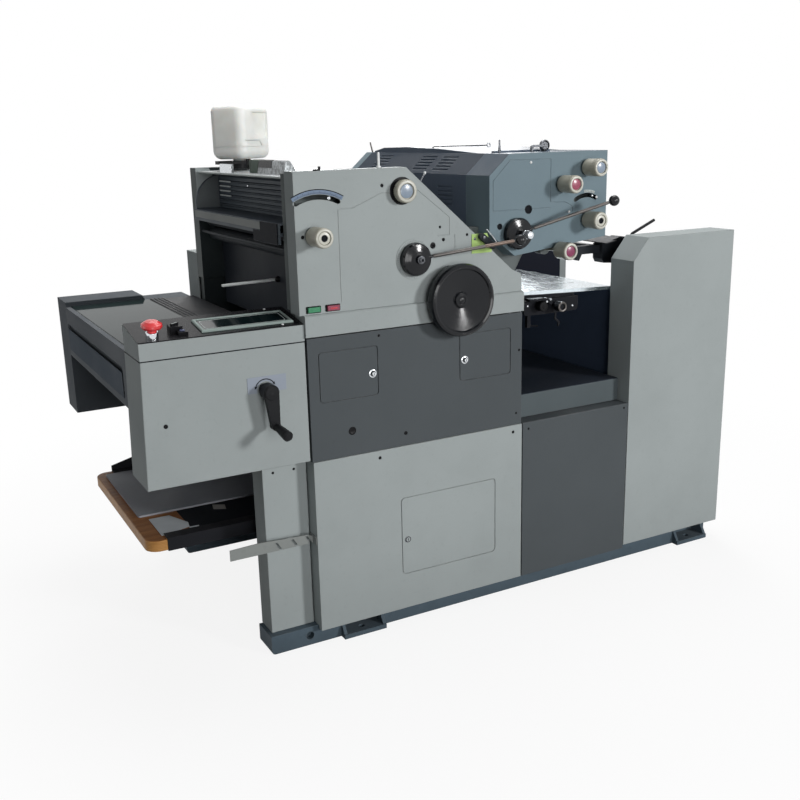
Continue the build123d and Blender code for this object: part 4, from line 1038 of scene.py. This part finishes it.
def lamp(name, place, size, power):
    """Square soft box at a place in metres, with its side in metres and its power in watts."""
    data = bpy.data.lights.new(name, "AREA")
    data.size = size
    data.energy = power
    away = np.array(place) - LAMP_AIM
    away /= np.linalg.norm(away)
    side = np.cross(UPWARD, away)
    side /= np.linalg.norm(side)
    pose = np.eye(4)
    pose[:3, 0], pose[:3, 1], pose[:3, 2], pose[:3, 3] = side, np.cross(away, side), away, place
    placed(name, data).matrix_world = Matrix(pose.tolist())


def seen_rays(net):
    """1 for rays of the lens, mirrors and glass, 0 for the rays that light the object."""
    path = net.add("LightPath").outputs
    mirrored = net.math("ADD", path["Is Glossy Ray"], path["Is Transmission Ray"])
    return net.math("ADD", path["Is Camera Ray"], mirrored, clamp=True)


WHITE = (1, 1, 1, 1)
FLOOR_RADIUS = 14
FLOOR_GREY, FLOOR_GLOW = 0.11, 0.88
WHITE_FROM, WHITE_AT = 1.3, 2.5
SKY_BLUE, SKY_STRENGTH = (0.9, 0.95, 1, 1), 0.06


def studio_floor():
    """Pale floor that takes the shadow and fades to white a few steps from the press."""
    mesh = bpy.data.meshes.new("studio_floor")
    rim = at_height(circle(FLOOR_RADIUS, 96), 0)
    mesh.from_pydata(rim.tolist(), [], [list(range(len(rim)))])
    floor = placed("studio_floor", mesh)
    material = bpy.data.materials.new("floor_card")
    net = fresh_net(material)
    seen = seen_rays(net)
    card = net.add("BsdfDiffuse", {"Color": (FLOOR_GREY, FLOOR_GREY, FLOOR_GREY, 1)}).outputs[0]
    glow = net.add("Emission", {"Strength": net.math("MULTIPLY", seen, FLOOR_GLOW)}).outputs[0]
    near = net.add("AddShader", {0: card, 1: glow}).outputs[0]
    white = net.add("Emission", {"Strength": 1}).outputs[0]
    flat = net.stretch(net.add("TexCoord").outputs["Object"], (1, 1, 0))
    reach = net.add("VectorMath", {0: flat}, operation="LENGTH").outputs["Value"]
    away = net.math("MULTIPLY", net.ramp(reach, WHITE_FROM, WHITE_AT), seen)
    mixed = net.add("MixShader", {0: away, 1: near, 2: white}).outputs[0]
    net.link(mixed, net.add("OutputMaterial").inputs[0])
    mesh.materials.append(material)


def sky():
    """White sky for lens and mirrors, and a faint one that lights the press."""
    world = bpy.data.worlds.new("sky")
    net = fresh_net(world)
    plain = net.add("Background", {"Color": SKY_BLUE, "Strength": SKY_STRENGTH}).outputs[0]
    white = net.add("Background", {"Color": WHITE, "Strength": 1}).outputs[0]
    mixed = net.add("MixShader", {0: seen_rays(net), 1: plain, 2: white}).outputs[0]
    net.link(mixed, net.add("OutputWorld").inputs[0])
    bpy.context.scene.world = world


camera()
studio_floor()
sky()
lamp("key_box", (3.4, -6.8, 2.6), 1.1, 290)
lamp("front_box", (-1.2, -6.8, 1.6), 3, 165)
lamp("top_box", (0.4, 0.9, 4.6), 3, 140)
lamp("back_box", (2.2, 4.6, 2.6), 2.4, 140)
lamp("left_box", (-6.5, 0.4, 1.6), 3, 34)
bpy.context.scene.view_settings.view_transform = "Standard"
